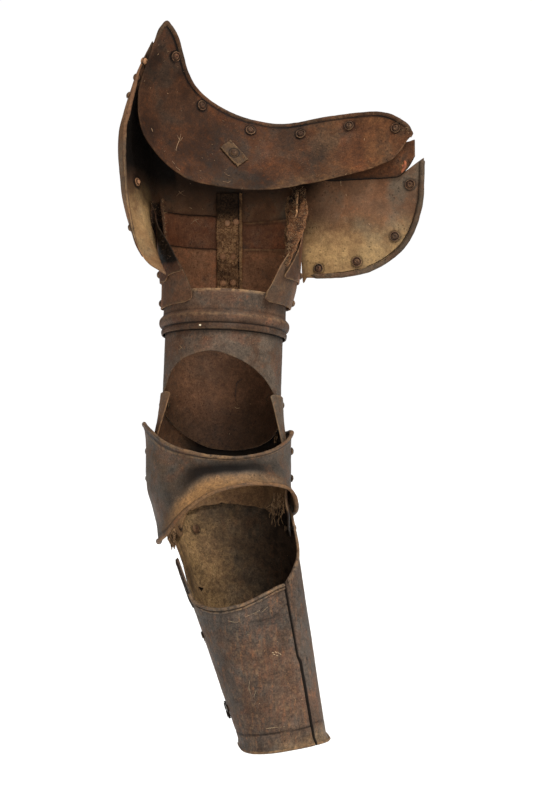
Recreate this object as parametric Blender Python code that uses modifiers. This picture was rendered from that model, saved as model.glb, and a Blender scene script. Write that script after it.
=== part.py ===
"""Plate defence for a whole arm, of rusted iron: shoulder, upper arm, elbow and forearm.

All sizes below are millimetres; the model itself is in metres, +Z up. +X runs from the
harness's narrow shoulder wing to its broad one, -Y is the inner side of the arm, where
the plates are open. The origin is the strap rivet on the crest plate, which the
shoulder strap holds up.
"""

from math import cos, degrees, pi, radians, sin

import bmesh
import bpy
from mathutils import Matrix, Vector

MM = 0.001

# ---------------------------------------------------------------- driving sizes
PLATE = 1.3  # wall of the big plates
LAME = 1.2  # wall of the narrow lames
LEATHER = 2.0  # wall of the straps
FIT_GAP = 0.35  # gap between pieces that touch
CANNON_RADIUS = 55.0
WRIST_RADIUS = 37.9
FOREARM_RADIUS = 55.3
FOREARM_LENGTH = 187.0
PIVOT_SHANK = 2.0  # radius
RIVET_SHANK = 1.5  # radius

# Axes of the upper arm, the elbow plate and the forearm: a point and the way up.
UPPER_ARM = ((-8.3, 10.0, -158.6), (0.033, 0.105, 0.994))
ELBOW = ((-13.0, -2.4, -276.0), (0.0, 0.09, 0.996))
FOREARM = ((3.6, -10.0, -364.7), (-0.24, 0.06, 0.97))

# Crest plate, a section in each row: its point on the turned neck rim, then on its
# lower edge.
#          rim_x  rim_y  rim_z  low_x  low_y  low_z
CREST = (
    (-57.3, -38, 114.6, -62.3, -38, 111.2),
    (-48.1, -32, 100.1, -70.4, -38, 93.0),
    (-39.7, -12, 71.4, -84.5, -40, 47.6),
    (-26.2, 4, 55.7, -78.8, -33, 9.3),
    (-3.2, 16, 43.4, -47.9, -21, -22.2),
    (22.5, 21, 35.9, -10.7, -12, -31.7),
    (50.0, 22, 33.3, 33.5, -8, -33.8),
    (92.8, 14, 39.2, 91.8, -7, -23.2),
    (135.1, 2, 40.7, 143.4, -9, -8.2),
    (156.5, -7, 30.6, 161.7, -10, 12.0),
    (166.4, -10, 19.0, 164.5, -10, 14.5),
)
CREST_CROWN = 3.0

# Main plate, a level in each row: the course of the wall from the narrow wing's front
# edge, round the back, to the broad wing's outer edge.
#        z   wing_x wing_y side_x side_y corner_x corner_y back_x back_y turn_x turn_y joint_x joint_y broad_x broad_y end_x end_y
MAIN = (
    (97, -72.6, -32, -68, -29, -60, -25, -50, -19, -30, -9, 20, 4, 80, 4, 150, -2),
    (62, -87.5, -46, -80, -33, -66, -15, -40, 4, 6, 20, 44, 22, 100, 12, 170, -3),
    (30, -96.5, -54, -89.5, -26, -72, 2, -30, 24, 14, 30, 52, 26, 108, 13, 175, -3),
    (12, -101.5, -58, -89.5, -12, -70, 22, -14, 43, 30, 40, 66, 26, 116, 11, 177, -3),
    (-7, -102.5, -60, -88, -2, -67, 36, -10, 57, 40, 48, 68, 28, 118, 10, 177, -3),
    (-37, -101.0, -60, -81.5, 8, -64, 50, -7, 70.5, 45, 57, 68.5, 30, 116, 9, 176.5, -3.5),
    (-63, -96.5, -56.5, -77.5, 5, -62.5, 50.5, -5, 73.8, 45, 60, 68, 31, 112, 8, 171.5, -3),
    (-84, -91.0, -50, -72.6, -5, -60, 44, -5, 73, 43, 57, 65.5, 27, 108, 7, 163, -2),
    (-100, -82.0, -44, -66.8, -19, -58, 30, -5, 73, 43, 57, 65.5, 24, 106, 7, 150, 0),
    (-117, -62.0, -38, -58, -33, -54, 10, -5, 73, 43, 57, 65.5, 22, 100, 8, 134, 4),
)
# Its edges: how far round (0 at the narrow wing, 7 at the broad wing's edge), and the
# heights of the upper and lower edge there.
#         round  top   bottom
MAIN_EDGES = (
    (0.00, 97.0, -104.5),
    (0.30, 96.0, -109.0),
    (0.62, 91.5, -113.0),
    (0.84, 85.0, -114.5),
    (0.93, 82.0, -108.0),
    (1.00, 79.0, -95.0),
    (1.06, 76.0, -82.0),
    (1.14, 72.0, -72.0),
    (1.28, 64.5, -66.5),
    (1.60, 50.0, -66.0),
    (2.30, 33.0, -66.0),
    (3.00, 24.0, -66.0),
    (4.00, 21.0, -66.5),
    (4.80, 16.0, -66.0),
    (4.93, 15.0, -70.0),
    (5.03, 14.0, -117.0),
    (5.14, 12.0, -112.2),
    (5.53, 6.1, -113.2),
    (5.94, -0.8, -113.2),
    (6.18, -5.4, -112.3),
    (6.38, -9.8, -111.0),
    (6.56, -16.5, -109.0),
    (6.62, -19.0, -107.8),
    (6.70, -16.3, -106.0),
    (6.83, -10.6, -101.5),
    (6.90, -7.5, -96.5),
    (6.95, -5.5, -89.0),
    (6.98, -4.3, -79.0),
    (7.00, -3.5, -62.0),
)

# How far the narrow wing's front edge is rolled in towards the arm.
#             z    in
WING_ROLL = ((97, 0.0), (62, 1.5), (30, 4.5), (-7, 7.5), (-37, 7.5), (-63, 6.0), (-84, 4.0), (-117, 0.5))

# Neck lame, which lies inside the main plate's upper edge: how far round, and the
# heights of its upper and lower edge.
#         round   top   bottom
NECK_EDGES = (
    (1.20, 63.0, 46.0),
    (2.00, 49.0, 20.0),
    (3.00, 35.0, 2.0),
    (4.00, 31.0, -8.0),
    (5.00, 26.0, -16.0),
    (5.65, 23.0, -21.7),
    (6.15, 18.0, -21.8),
    (6.60, 11.5, -20.6),
    (6.76, 11.5, -13.0),
    (6.87, 13.3, -2.3),
)

# Pauldron lames, a level in each row: centre, side radius and back radius.
#             z   mid_x  mid_y  side  back
UPPER_LAME = (
    (-120, -3.4, 10.4, 65.3, 61.8),
    (-97, -3.0, 9.0, 67.0, 62.4),
    (-80, -3.0, 8.0, 68.0, 62.5),
    (-48, -3.0, 6.0, 70.5, 61.9),
)
LOWER_LAME = (
    (-145, -7.2, 11.8, 60.8, 60.0),
    (-120, -3.6, 10.5, 63.4, 59.9),
    (-97, -3.1, 9.1, 64.4, 59.7),
    (-80, -3.0, 8.0, 65.2, 59.7),
)

# Turner collar, its outer face: height on the arm's axis and radius.
#               s     radius
COLLAR = (
    (25.0, 57.3),
    (9.0, 57.2),
    (5.8, 57.9),
    (3.0, 60.2),
    (0.0, 60.9),
    (-3.2, 60.1),
    (-5.6, 58.2),
    (-8.6, 59.6),
    (-12.4, 58.9),
)
# Upper cannon: the flange that turns inside the collar's bead, then the tube.
#               s     radius
CANNON_FLANGE = ((0.6, 58.3), (-1.6, 56.9), (-4.5, 55.2), (-12.0, 55.0))
# Its lower edge: angle round from the inner side, height on the arm's axis.
#                 angle     s
CANNON_EDGE = (
    (-172, -111.5),
    (-151, -105.5),
    (-126, -94.0),
    (-104, -83.5),
    (-90, -77.0),
    (-73, -63.0),
    (-52, -43.6),
    (-34, -35.2),
    (-10, -30.8),
    (18, -37.7),
    (38, -47.5),
    (55, -59.0),
    (67, -70.0),
    (84, -86.0),
    (104, -95.0),
    (126, -104.5),
    (146, -110.0),
    (167, -112.5),
)

# Pivots of the elbow: x of the axis's middle, y and z of the axis.
#                  mid_x     y       z
PIVOTS = {
    "cannon": (-10.8, 16.0, -233.0),
    "upper": (-12.3, 8.5, -275.8),
    "lower": (-12.2, 7.0, -301.0),
    "forearm": (0.0, 5.0, -347.5),
}

# Elbow lames, a level in each row on the upper arm's or the forearm's axis.
#                   s    side  back
ELBOW_UPPER = (
    (-66.0, 56.9, 57.4),
    (-88.0, 58.8, 62.0),
    (-101.0, 60.8, 64.8),
    (-112.0, 62.6, 61.6),
    (-128.0, 64.2, 60.2),
)
#                      angle   top   bottom
ELBOW_UPPER_EDGES = (
    (54, -68.6, -70.2),
    (57.5, -67.0, -77.5),
    (61, -66.5, -86.0),
    (65, -66.0, -98.0),
    (69, -66.0, -112.0),
    (74, -66.0, -118.5),
    (84, -66.0, -123.0),
    (98, -66.0, -126.5),
    (112, -70.0, -126.0),
    (130, -86.0, -124.0),
    (150, -98.0, -124.5),
    (180, -101.0, -125.0),
)
#                  z     mid_x  mid_y  side   back
ELBOW_LOWER = (
    (-292.0, -12.2, -4.5, 64.6, 64.0),
    (-310.0, -10.0, -5.5, 61.0, 57.5),
    (-321.0, -7.4, -6.5, 58.0, 55.5),
    (-332.0, -4.0, -7.5, 56.4, 53.5),
    (-348.0, -0.2, -8.5, 53.2, 51.5),
    (-360.0, 3.6, -9.6, 51.2, 50.0),
)
#                      angle   top    bottom
ELBOW_LOWER_EDGES = (
    (78, -297.0, -347.0),
    (90, -295.2, -354.5),
    (104, -296.0, -355.5),
    (118, -300.0, -346.0),
    (135, -306.0, -335.0),
    (155, -308.0, -330.0),
    (180, -309.0, -328.5),
)

# Couter: its outer face in three rings from rim to rim, and the heights of its rims.
COUTER_SIDE = 67.2
COUTER_BACK = 82.0
COUTER_FRONT = 68.0
#             angle   top   bottom  left and right differ, so the angle runs all round
COUTER_RIMS = (
    (-180, 14.0, -64.0),
    (-150, 13.0, -66.0),
    (-120, 13.0, -72.0),
    (-103, 17.5, -79.5),
    (-93, 24.5, -82.5),
    (-84, 25.5, -82.5),
    (-60, 17.0, -79.5),
    (-48, 9.0, -75.5),
    (-34, 1.5, -64.5),
    (-20, -3.5, -52.5),
    (-4, -7.5, -40.5),
    (14, -8.8, -33.8),
    (28, -6.8, -31.3),
    (45, -2.0, -31.8),
    (62, 5.4, -34.5),
    (76, 11.7, -41.0),
    (92, 18.0, -52.0),
    (108, 19.0, -58.0),
    (130, 16.0, -62.0),
    (152, 14.0, -63.5),
)

# The couter's narrow side, below its middle: height on the elbow's axis and half-width.
COUTER_LEFT = ((-20, 67.2), (-34, 66.0), (-51, 61.0), (-69, 56.8), (-84, 55.0))

# Forearm: upper edge of the back shell, angle round and height on the forearm's axis.
#                 angle     s
SHELL_TOP = (
    (44, -39.5),
    (47, -37.5),
    (56, -32.0),
    (66, -25.5),
    (78, -18.0),
    (90, -8.0),
    (97, 4.0),
    (104, 21.0),
    (112, 34.0),
    (125, 39.0),
    (150, 44.0),
    (180, 47.0),
    (210, 48.0),
    (235, 46.5),
    (250, 45.0),
    (260, 41.0),
    (268, 33.0),
    (274, 25.0),
    (278, 17.5),
)
# How far the back shell dips inside the front shell by the hinges: height, depth.
SHELL_TUCK = ((-190, 2.6), (-60, 2.6), (-21, 2.8), (0, 4.4), (20, 3.9), (40, 3.3), (50, 3.0))
#                 angle     s      upper edge of the front shell
DOOR_TOP = (
    (-90.5, 3.0),
    (-86, 4.5),
    (-77, 3.0),
    (-74.5, -18.0),
    (-71, -33.0),
    (-64, -37.0),
    (-53, -40.8),
    (-41, -44.4),
    (-24, -46.8),
    (-9, -46.8),
    (6, -44.6),
    (21, -41.9),
    (33, -39.8),
    (41.5, -39.3),
)
#                 angle     s      lower edge, all round
WRIST_EDGE = (
    (-180, -173.0),
    (-90, -173.5),
    (-63, -178.3),
    (-20, -181.3),
    (9, -182.8),
    (42, -185.5),
    (90, -189.0),
    (135, -181.0),
)
# The front shell's hinges: height on the forearm's axis, angle round, how far the pin
# lies over the front shell's face, and the radius and length of a knuckle.
#             s      angle   lift  knuckle  long  pin   leaf
HINGES = {
    "upper": (-72.0, -106.0, 2.0, 1.6, 5.0, 0.7, 1.0),
    "lower": (-142.0, -100.0, 2.3, 1.9, 6.4, 0.8, 1.1),
}
UNDERLAP = 3.2  # how far the back shell's edge is stepped in, to lie under the front shell's

#   number  station  across
CREST_RIVETS = (
    (1, 1.45, 0.20),
    (2, 3.20, 0.13),
    (3, 4.95, 0.15),
    (4, 6.38, 0.19),
    (5, 7.33, 0.20),
    (6, 8.50, 0.36),
)


# ---------------------------------------------------------------- curves and tables
def smooth(xs, ys, x, period=None):
    """Value at x of a smooth curve through (xs, ys) that doesn't overshoot."""
    xs, ys = list(xs), list(ys)
    if xs[0] > xs[-1]:
        xs.reverse()
        ys.reverse()
    if period:
        x = (x - xs[0]) % period + xs[0]
        xs = [xs[-2] - period, xs[-1] - period] + xs + [xs[0] + period, xs[1] + period]
        ys = [ys[-2], ys[-1]] + ys + [ys[0], ys[1]]
    if x <= xs[0]:
        return ys[0]
    if x >= xs[-1]:
        return ys[-1]
    i = max(k for k in range(len(xs) - 1) if xs[k] <= x)

    def slope(k):
        if k == 0:
            return (ys[1] - ys[0]) / (xs[1] - xs[0])
        if k == len(xs) - 1:
            return (ys[-1] - ys[-2]) / (xs[-1] - xs[-2])
        a = (ys[k] - ys[k - 1]) / (xs[k] - xs[k - 1])
        b = (ys[k + 1] - ys[k]) / (xs[k + 1] - xs[k])
        return 0.0 if a * b <= 0 else 2 * a * b / (a + b)

    h = xs[i + 1] - xs[i]
    t = (x - xs[i]) / h
    return (
        (2 * t**3 - 3 * t**2 + 1) * ys[i]
        + (t**3 - 2 * t**2 + t) * h * slope(i)
        + (3 * t**2 - 2 * t**3) * ys[i + 1]
        + (t**3 - t**2) * h * slope(i + 1)
    )


def column(table, key, value, x, period=None):
    return smooth([r[key] for r in table], [r[value] for r in table], x, period)


def through(points, t):
    """Point at parameter t (0 .. n-1) of a Catmull-Rom curve through points."""
    i = min(max(int(t), 0), len(points) - 2)
    f = t - i
    p1, p2 = points[i], points[i + 1]
    p0 = points[i - 1] if i else p1 + (p1 - p2)
    p3 = points[i + 2] if i + 2 < len(points) else p2 + (p2 - p1)
    return 0.5 * (
        2 * p1
        + (p2 - p0) * f
        + (2 * p0 - 5 * p1 + 4 * p2 - p3) * f**2
        + (3 * p1 - p0 - 3 * p2 + p3) * f**3
    )


def spread(first, last, steps):
    return [first + (last - first) * i / steps for i in range(steps + 1)]


class Axis:
    """An arm's axis. Angle 0 is the inner side (-Y), 90 is +X; s runs up the axis."""

    def __init__(self, origin, up):
        self.origin = Vector(origin)
        self.up = Vector(up).normalized()
        side = Vector((1, 0, 0))
        self.side = (side - side.dot(self.up) * self.up).normalized()
        self.front = self.side.cross(self.up)

    def at(self, angle, s, side, front=None, back=None):
        front = side if front is None else front
        back = side if back is None else back
        c, a = cos(radians(angle)), radians(angle)
        depth = front if c > 0 else back
        return self.origin + s * self.up + side * sin(a) * self.side + depth * c * self.front

    def outward(self, angle):
        a = radians(angle)
        return sin(a) * self.side + cos(a) * self.front


upper_arm = Axis(*UPPER_ARM)
elbow = Axis(*ELBOW)
forearm = Axis(*FOREARM)

# ---------------------------------------------------------------- scene
for old in list(bpy.data.objects):
    bpy.data.objects.remove(old, do_unlink=True)
for old in list(bpy.data.collections):
    bpy.data.collections.remove(old)
harness = bpy.data.collections.new("arm_harness")
cutters = bpy.data.collections.new("cutters")
cutters.hide_render = True
bpy.context.scene.collection.children.link(harness)
bpy.context.scene.collection.children.link(cutters)


def material(name, colour, roughness, metallic):
    made = bpy.data.materials.new(name)
    made.use_nodes = True
    shader = made.node_tree.nodes["Principled BSDF"]
    shader.inputs["Base Color"].default_value = (*colour, 1)
    shader.inputs["Roughness"].default_value = roughness
    shader.inputs["Metallic"].default_value = metallic
    return made


FINISHES = {
    "rusted_iron": ((0.10, 0.065, 0.045), 0.62, 0.55),
    "brown_iron": ((0.13, 0.07, 0.04), 0.70, 0.45),
    "rivet_iron": ((0.17, 0.11, 0.07), 0.60, 0.55),
    "leather": ((0.26, 0.17, 0.10), 0.85, 0.0),
}


def finish(obj, kind):
    colour, roughness, metallic = FINISHES[kind]
    obj.data.materials.append(material(f"{obj.name}_{kind}", colour, roughness, metallic))
    for face in obj.data.polygons:
        face.use_smooth = True
    return obj


def sheet(name, grid, wall, grow, kind, closed=False, even=True):
    """A plate from a grid of points (columns of rows), given thickness by Solidify."""
    mesh = bpy.data.meshes.new(name)
    bm = bmesh.new()
    verts = [[bm.verts.new(p * MM) for p in line] for line in grid]
    last = len(verts) if closed else len(verts) - 1
    for i in range(last):
        a, b = verts[i], verts[(i + 1) % len(verts)]
        for j in range(len(a) - 1):
            bm.faces.new((a[j], a[j + 1], b[j + 1], b[j]))
    bm.to_mesh(mesh)
    bm.free()
    obj = bpy.data.objects.new(name, mesh)
    harness.objects.link(obj)
    solid = obj.modifiers.new("wall", "SOLIDIFY")
    solid.thickness = wall * MM
    solid.offset = grow
    solid.use_even_offset = even
    return finish(obj, kind)


def turned(name, profile, steps, place, kind):
    """A turned piece: the profile (radius, height) runs from top to bottom."""
    mesh = bpy.data.meshes.new(name)
    mesh.from_pydata(
        [(r * MM, 0, z * MM) for r, z in profile],
        [(i, i + 1) for i in range(len(profile) - 1)],
        [],
    )
    obj = bpy.data.objects.new(name, mesh)
    harness.objects.link(obj)
    screw = obj.modifiers.new("turn", "SCREW")
    screw.steps = screw.render_steps = steps
    screw.use_merge_vertices = True
    screw.merge_threshold = 0.00001
    screw.use_smooth_shade = True
    obj.matrix_world = place
    return finish(obj, kind)


def facing(at, normal):
    """A placement at a point whose Z axis is the given normal."""
    return Matrix.Translation(at * MM) @ normal.to_track_quat("Z", "Y").to_matrix().to_4x4()


def drill(at, normal, radius, reach, plates, sides):
    """A hole through plates, cut along a normal; its flats clear the radius."""
    radius /= cos(pi / sides)
    mesh = bpy.data.meshes.new("drill")
    bm = bmesh.new()
    bmesh.ops.create_cone(
        bm, cap_ends=True, segments=sides, radius1=radius * MM, radius2=radius * MM, depth=2 * reach * MM
    )
    bm.to_mesh(mesh)
    bm.free()
    cutter = bpy.data.objects.new("drill", mesh)
    cutter.matrix_world = facing(at, normal)
    cutter.hide_render = True
    cutter.display_type = "WIRE"
    cutters.objects.link(cutter)
    for plate in plates:
        cut = plate.modifiers.new("hole", "BOOLEAN")
        cut.operation = "DIFFERENCE"
        cut.object = cutter


def rivet(name, at, normal, grip, plates, head=3.4, rise=1.9, tail=2.8, tail_rise=1.2, shank=RIVET_SHANK, steps=8, washer=0.0, g=FIT_GAP):
    """A rivet whose head sits on the face at a point; its shank runs in by the grip."""
    profile = [(0, rise + g), (head * 0.66, rise * 0.76 + g), (head, g), (shank, g)]
    low = -grip - g
    if washer:
        profile += [(shank, low), (washer, low), (washer, low - 0.9), (tail, low - 0.9)]
        low -= 0.9
    else:
        profile += [(shank, low), (tail, low)]
    profile += [(tail * 0.72, low - tail_rise * 0.8), (0, low - tail_rise)]
    obj = turned(name, profile, steps, facing(at, normal), "rivet_iron")
    drill(at, normal, shank + 0.2, grip + 6, plates, 10 if steps > 8 else 6)
    return obj


# ---------------------------------------------------------------- crest
def crest_at(station, across, lift=0.0):
    """Outer face of the crest plate; lift moves the point out along the face's normal."""

    def flat(u, t):
        rim = through([Vector(r[:3]) for r in CREST], u)
        low = through([Vector(r[3:]) for r in CREST], u)
        return rim.lerp(low, t)

    u = min(max(station, 0.02), len(CREST) - 1.02)
    along = flat(u + 0.02, across) - flat(u - 0.02, across)
    down = flat(u, 1) - flat(u, 0)
    normal = along.cross(down).normalized()
    if normal.y < 0:
        normal.negate()
    crown = CREST_CROWN * sin(pi * min(max(across, 0), 1)) * min(1.0, down.length / 40)
    return flat(station, across) + (crown + lift) * normal, normal


crest_columns = []
for u in spread(0, len(CREST) - 1, 30):
    line = [crest_at(u, 0.0, 2.4)[0]] + [crest_at(u, t)[0] for t in (0.04, 0.35, 0.7, 1.0)]
    crest_columns.append(line)
crest_plate = sheet("crest_plate", crest_columns, PLATE, 1, "brown_iron", even=False)


# ---------------------------------------------------------------- main plate
def main_at(around, z):
    """Outer face of the main plate at a distance round it and a height."""
    points = []
    for k in range(8):
        x = column(MAIN, 0, 1 + 2 * k, z)
        y = column(MAIN, 0, 2 + 2 * k, z)
        points.append(Vector((x, y, z)))
    point = through(points, around)
    if around < 0.75:
        roll = smooth(*zip(*WING_ROLL), z)
        point.x += roll * max(0, 1 - around / 0.34) ** 2 - 0.55 * roll * sin(pi * around / 0.75)
    return point


def main_normal(around, z):
    a = main_at(min(around + 0.02, 7), z) - main_at(max(around - 0.02, 0), z)
    b = main_at(around, z - 1) - main_at(around, z + 1)
    return b.cross(a).normalized() * -1


main_columns = []
rounds = sorted(
    set(
        [0, 0.12, 0.3, 0.46, 0.62, 0.74, 0.84, 0.93, 1.0, 1.06, 1.14, 1.28, 1.6, 1.95, 2.3, 2.65]
        + spread(3.0, 4.75, 8)
        + [4.86, 4.95, 5.03, 5.14, 5.32, 5.53, 5.74, 5.94, 6.18, 6.38, 6.56, 6.7, 6.78, 6.83, 6.9, 6.95, 6.98, 7.0]
    )
)
for a in rounds:
    top = column(MAIN_EDGES, 0, 1, a)
    bottom = column(MAIN_EDGES, 0, 2, a)
    main_columns.append([main_at(a, top + (bottom - top) * t / 7) for t in range(8)])
main_plate = sheet("main_plate", main_columns, PLATE, 1, "brown_iron", even=False)

neck_columns = []
for a in spread(1.2, 6.87, 26):
    top, bottom = column(NECK_EDGES, 0, 1, a), column(NECK_EDGES, 0, 2, a)
    line = []
    for t in (0, 0.5, 1):
        z = top + (bottom - top) * t
        line.append(main_at(a, z) - (PLATE + 1.5) * main_normal(a, z))
    neck_columns.append(line)
neck_lame = sheet("neck_lame", neck_columns, LAME, 1, "brown_iron", even=False)


# ---------------------------------------------------------------- pauldron lames
def lame_at(table, angle, z):
    mid = (column(table, 0, 1, z), column(table, 0, 2, z), z)
    side, back = column(table, 0, 3, z), column(table, 0, 4, z)
    return Axis(mid, (0, 0, 1)).at(angle, 0, side, side, back)


def upper_lame_edges(angle):
    """Its ends are cut back on a slant, so that the arm has room at the inner side."""
    left = angle > 180
    a = min(abs(angle), abs(360 - angle))
    reach = max(0.0, (94 - a) / 42)
    top = -48.0 - (0 if left else 5) * min(1, abs(180 - angle) / 60) - 9 * reach
    low = -119.0 + 2 * reach
    if left:
        cut = column(((40, -110), (46, -99), (52, -89), (62, -78), (75, -67), (88, -52), (96, -48)), 0, 1, a)
        low = column(((40, -111.5), (57, -114.2), (64, -119), (80, -119)), 0, 1, a)
    else:
        cut = column(((52, -114), (62, -102), (72, -90), (82, -78), (90, -64), (96, -54)), 0, 1, a)
    return min(top, cut), low


def lower_lame_edges(angle):
    left = angle > 180
    a = min(abs(angle), abs(360 - angle))
    tip = 30 if left else 36
    top = -78.5 - (0 if left else 5) * min(1, abs(180 - angle) / 60)
    cut = column(((tip, -130), (tip + 14, -104), (tip + 30, -88), (tip + 44, -80)), 0, 1, a)
    low = column(((tip, -136.5), (tip + 6, -139), (tip + 22, -140.5), (tip + 44, -143)), 0, 1, a)
    return min(top, cut), low


angles = spread(52, 320, 30)
upper_pauldron_lame = sheet(
    "upper_pauldron_lame",
    [[lame_at(UPPER_LAME, a, upper_lame_edges(a)[0] * (1 - t) + upper_lame_edges(a)[1] * t) for t in (0, 0.5, 1)] for a in angles],
    LAME,
    -1,
    "brown_iron",
)
angles = spread(36, 330, 32)
lower_pauldron_lame = sheet(
    "lower_pauldron_lame",
    [[lame_at(LOWER_LAME, a, lower_lame_edges(a)[0] * (1 - t) + lower_lame_edges(a)[1] * t) for t in (0, 0.5, 1)] for a in angles],
    LAME,
    -1,
    "brown_iron",
)

# ---------------------------------------------------------------- collar and cannon
TURNS = 30
turner_collar = sheet(
    "turner_collar",
    [[upper_arm.at(360 * i / TURNS, s, r) for s, r in COLLAR] for i in range(TURNS)],
    PLATE,
    -1,
    "rusted_iron",
    closed=True,
)
cannon_columns = []
for i in range(TURNS):
    a = 360 * i / TURNS
    edge = column(CANNON_EDGE, 0, 1, a if a <= 180 else a - 360, 360)
    line = [upper_arm.at(a, s, r) for s, r in CANNON_FLANGE]
    line += [upper_arm.at(a, -12 + (edge + 12) * t / 4, CANNON_RADIUS) for t in (1, 2, 3, 4)]
    cannon_columns.append(line)
upper_cannon = sheet("upper_cannon", cannon_columns, PLATE, -1, "rusted_iron", closed=True)


# ---------------------------------------------------------------- elbow
def elbow_upper_at(angle, s):
    side = column(ELBOW_UPPER, 0, 1, s)
    return upper_arm.at(angle, s, side, side + 3.6, column(ELBOW_UPPER, 0, 2, s))


def elbow_lower_at(angle, z):
    mid = (column(ELBOW_LOWER, 0, 1, z), column(ELBOW_LOWER, 0, 2, z), z)
    side, back = column(ELBOW_LOWER, 0, 3, z), column(ELBOW_LOWER, 0, 4, z)
    return Axis(mid, (0, 0, 1)).at(angle, 0, side, side, back)


def folded(angle):
    return min(abs(angle), abs(360 - angle))


def band(name, at, edges, first, last, steps, kind, rows=(0, 0.33, 0.67, 1)):
    grid = []
    for a in spread(first, last, steps):
        top = column(edges, 0, 1, folded(a))
        low = column(edges, 0, 2, folded(a))
        grid.append([at(a, top + (low - top) * t) for t in rows])
    return sheet(name, grid, LAME, -1, kind)


elbow_upper_lame = band("elbow_upper_lame", elbow_upper_at, ELBOW_UPPER_EDGES, 54, 306, 36, "rusted_iron")
elbow_lower_lame = band("elbow_lower_lame", elbow_lower_at, ELBOW_LOWER_EDGES, 78, 282, 26, "rusted_iron")


def couter_at(angle, t):
    """Outer face of the couter; t runs from its upper rim (0) to its lower rim (1)."""
    a = angle if angle <= 180 else angle - 360
    top = column(COUTER_RIMS, 0, 1, a, 360)
    low = column(COUTER_RIMS, 0, 2, a, 360)
    s = top + (low - top) * t
    c = cos(radians(angle))
    flare_top = 4.6 * max(0, 1 - t / 0.24) ** 2
    flare_low = 5.2 * max(0, (t - 0.7) / 0.3) ** 2
    # The waist of the inner side, from which both rims flare out.
    waist = max(0, c) * (5.5 * max(0, (t - 0.42) / 0.58) ** 1.6 + 1.5 * max(0, 1 - t / 0.35) - 2.0)
    # The elbow's point: a dome at the back, between the rims.
    dome = max(0, -c) ** 1.5 * 7 * sin(pi * min(max((t - 0.05) / 0.9, 0), 1))
    left = max(0.0, -sin(radians(angle)))
    tuck = left * (COUTER_SIDE + flare_low - column(COUTER_LEFT, 0, 1, s))
    side = COUTER_SIDE + flare_top * (0.55 if left else 0.15) + flare_low - (tuck if s < -20 else 0)
    back = COUTER_BACK - 9.0 * max(0, s / 28) - 5 * max(0, (-s - 35) / 30) + flare_low * 0.6
    front = COUTER_FRONT + flare_top + flare_low + waist
    return elbow.at(angle, s, side, front, back) + dome * elbow.outward(angle)


couter = sheet(
    "couter",
    [[couter_at(360 * i / 36, t) for t in (0, 0.08, 0.2, 0.4, 0.6, 0.78, 0.9, 1)] for i in range(36)],
    PLATE,
    -1,
    "rusted_iron",
    closed=True,
)


# ---------------------------------------------------------------- forearm
def forearm_radius(s):
    return FOREARM_RADIUS + s * (FOREARM_RADIUS - WRIST_RADIUS) / FOREARM_LENGTH


def shell_at(angle, s):
    """Outer face of the back shell: it dips inside the front shell's edge by the hinge."""
    r = forearm_radius(min(s, 20)) + 0.9
    left = max(0.0, -sin(radians(angle))) ** 2
    tuck = left * column(SHELL_TUCK, 0, 1, s)
    mouth = 2.6 * max(0.0, (s - 10) / 38) ** 1.5
    under = UNDERLAP * min(1, max(0, (46.5 - angle) / 3.4))
    return forearm.at(angle, s, r - tuck - under + mouth, None, r + mouth)


def wrist(angle):
    return column(WRIST_EDGE, 0, 1, angle if angle <= 180 else angle - 360, 360)


shell_grid = []
for a in [38, 43.1, 44.8, 46.5] + spread(51, 277, 34):
    top, low = column(SHELL_TOP, 0, 1, max(a, 44)) - 1.5 * (a < 44), wrist(a) + 1.0 * (a < 44)
    shell_grid.append([shell_at(a, top + (low - top) * t) for t in (0, 0.12, 0.3, 0.53, 0.76, 0.96, 1)])
lower_cannon = sheet("lower_cannon", shell_grid, PLATE, -1, "rusted_iron")

door_angles = [-90.5, -86, -80, -77, -74.5, -71, -64, -53, -41, -32.5, -24, -9, 6, 21, 33, 42.4]
door_grid = []
for a in door_angles:
    top, low = column(DOOR_TOP, 0, 1, a), wrist(a)
    door_grid.append([forearm.at(a, s, forearm_radius(s)) for s in (top + (low - top) * t for t in (0, 0.06, 0.25, 0.45, 0.65, 0.85, 0.97, 1))])
lower_cannon_door = sheet("lower_cannon_door", door_grid, PLATE, -1, "rusted_iron")

# ---------------------------------------------------------------- leathers
#                    z      y of the outer face at the middle
CENTER_LEATHER = ((-26, 63.3), (-36, 64.6), (-52, 65.1), (-66, 65.2), (-82, 65.2), (-98, 66.4), (-121, 67.9))


def center_leather_at(x, z):
    return Vector((x, column(CENTER_LEATHER, 0, 1, z) - 0.0078 * (x + 4) ** 2, z))


center_leather = sheet(
    "center_leather",
    [[center_leather_at(x, z) for z, _ in CENTER_LEATHER] for x in (-17.2, -11, -5, 1, 7.2)],
    LEATHER,
    1,
    "leather",
)


def side_leather(name, table, first, last, steps, levels):
    grid = []
    for a in spread(first, last, steps):
        line = []
        for z in levels:
            outer = lame_at(table, a, z)
            inward = Vector((-3.0, 8.0, z)) - outer
            line.append(outer + inward.normalized() * (LAME + 0.9))
        grid.append(line)
    return sheet(name, grid, LEATHER, -1, "leather")


left_leather = side_leather("left_leather", ((-120, -3.4, 10.4, 61.8, 58.3), (-97, -3.0, 9.0, 63.2, 58.8), (-80, -3.0, 8.0, 64.0, 58.9), (-30, -3.0, 6.0, 69.0, 60.5)), 268, 279, 3, (-42, -62, -82, -106))
right_leather = side_leather("right_leather", ((-120, -3.4, 10.4, 61.8, 58.3), (-97, -3.0, 9.0, 63.2, 58.8), (-80, -3.0, 8.0, 64.0, 58.9), (-30, -3.0, 6.0, 66.5, 60.5)), 88, 121, 5, (-34, -50, -66, -84))

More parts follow.
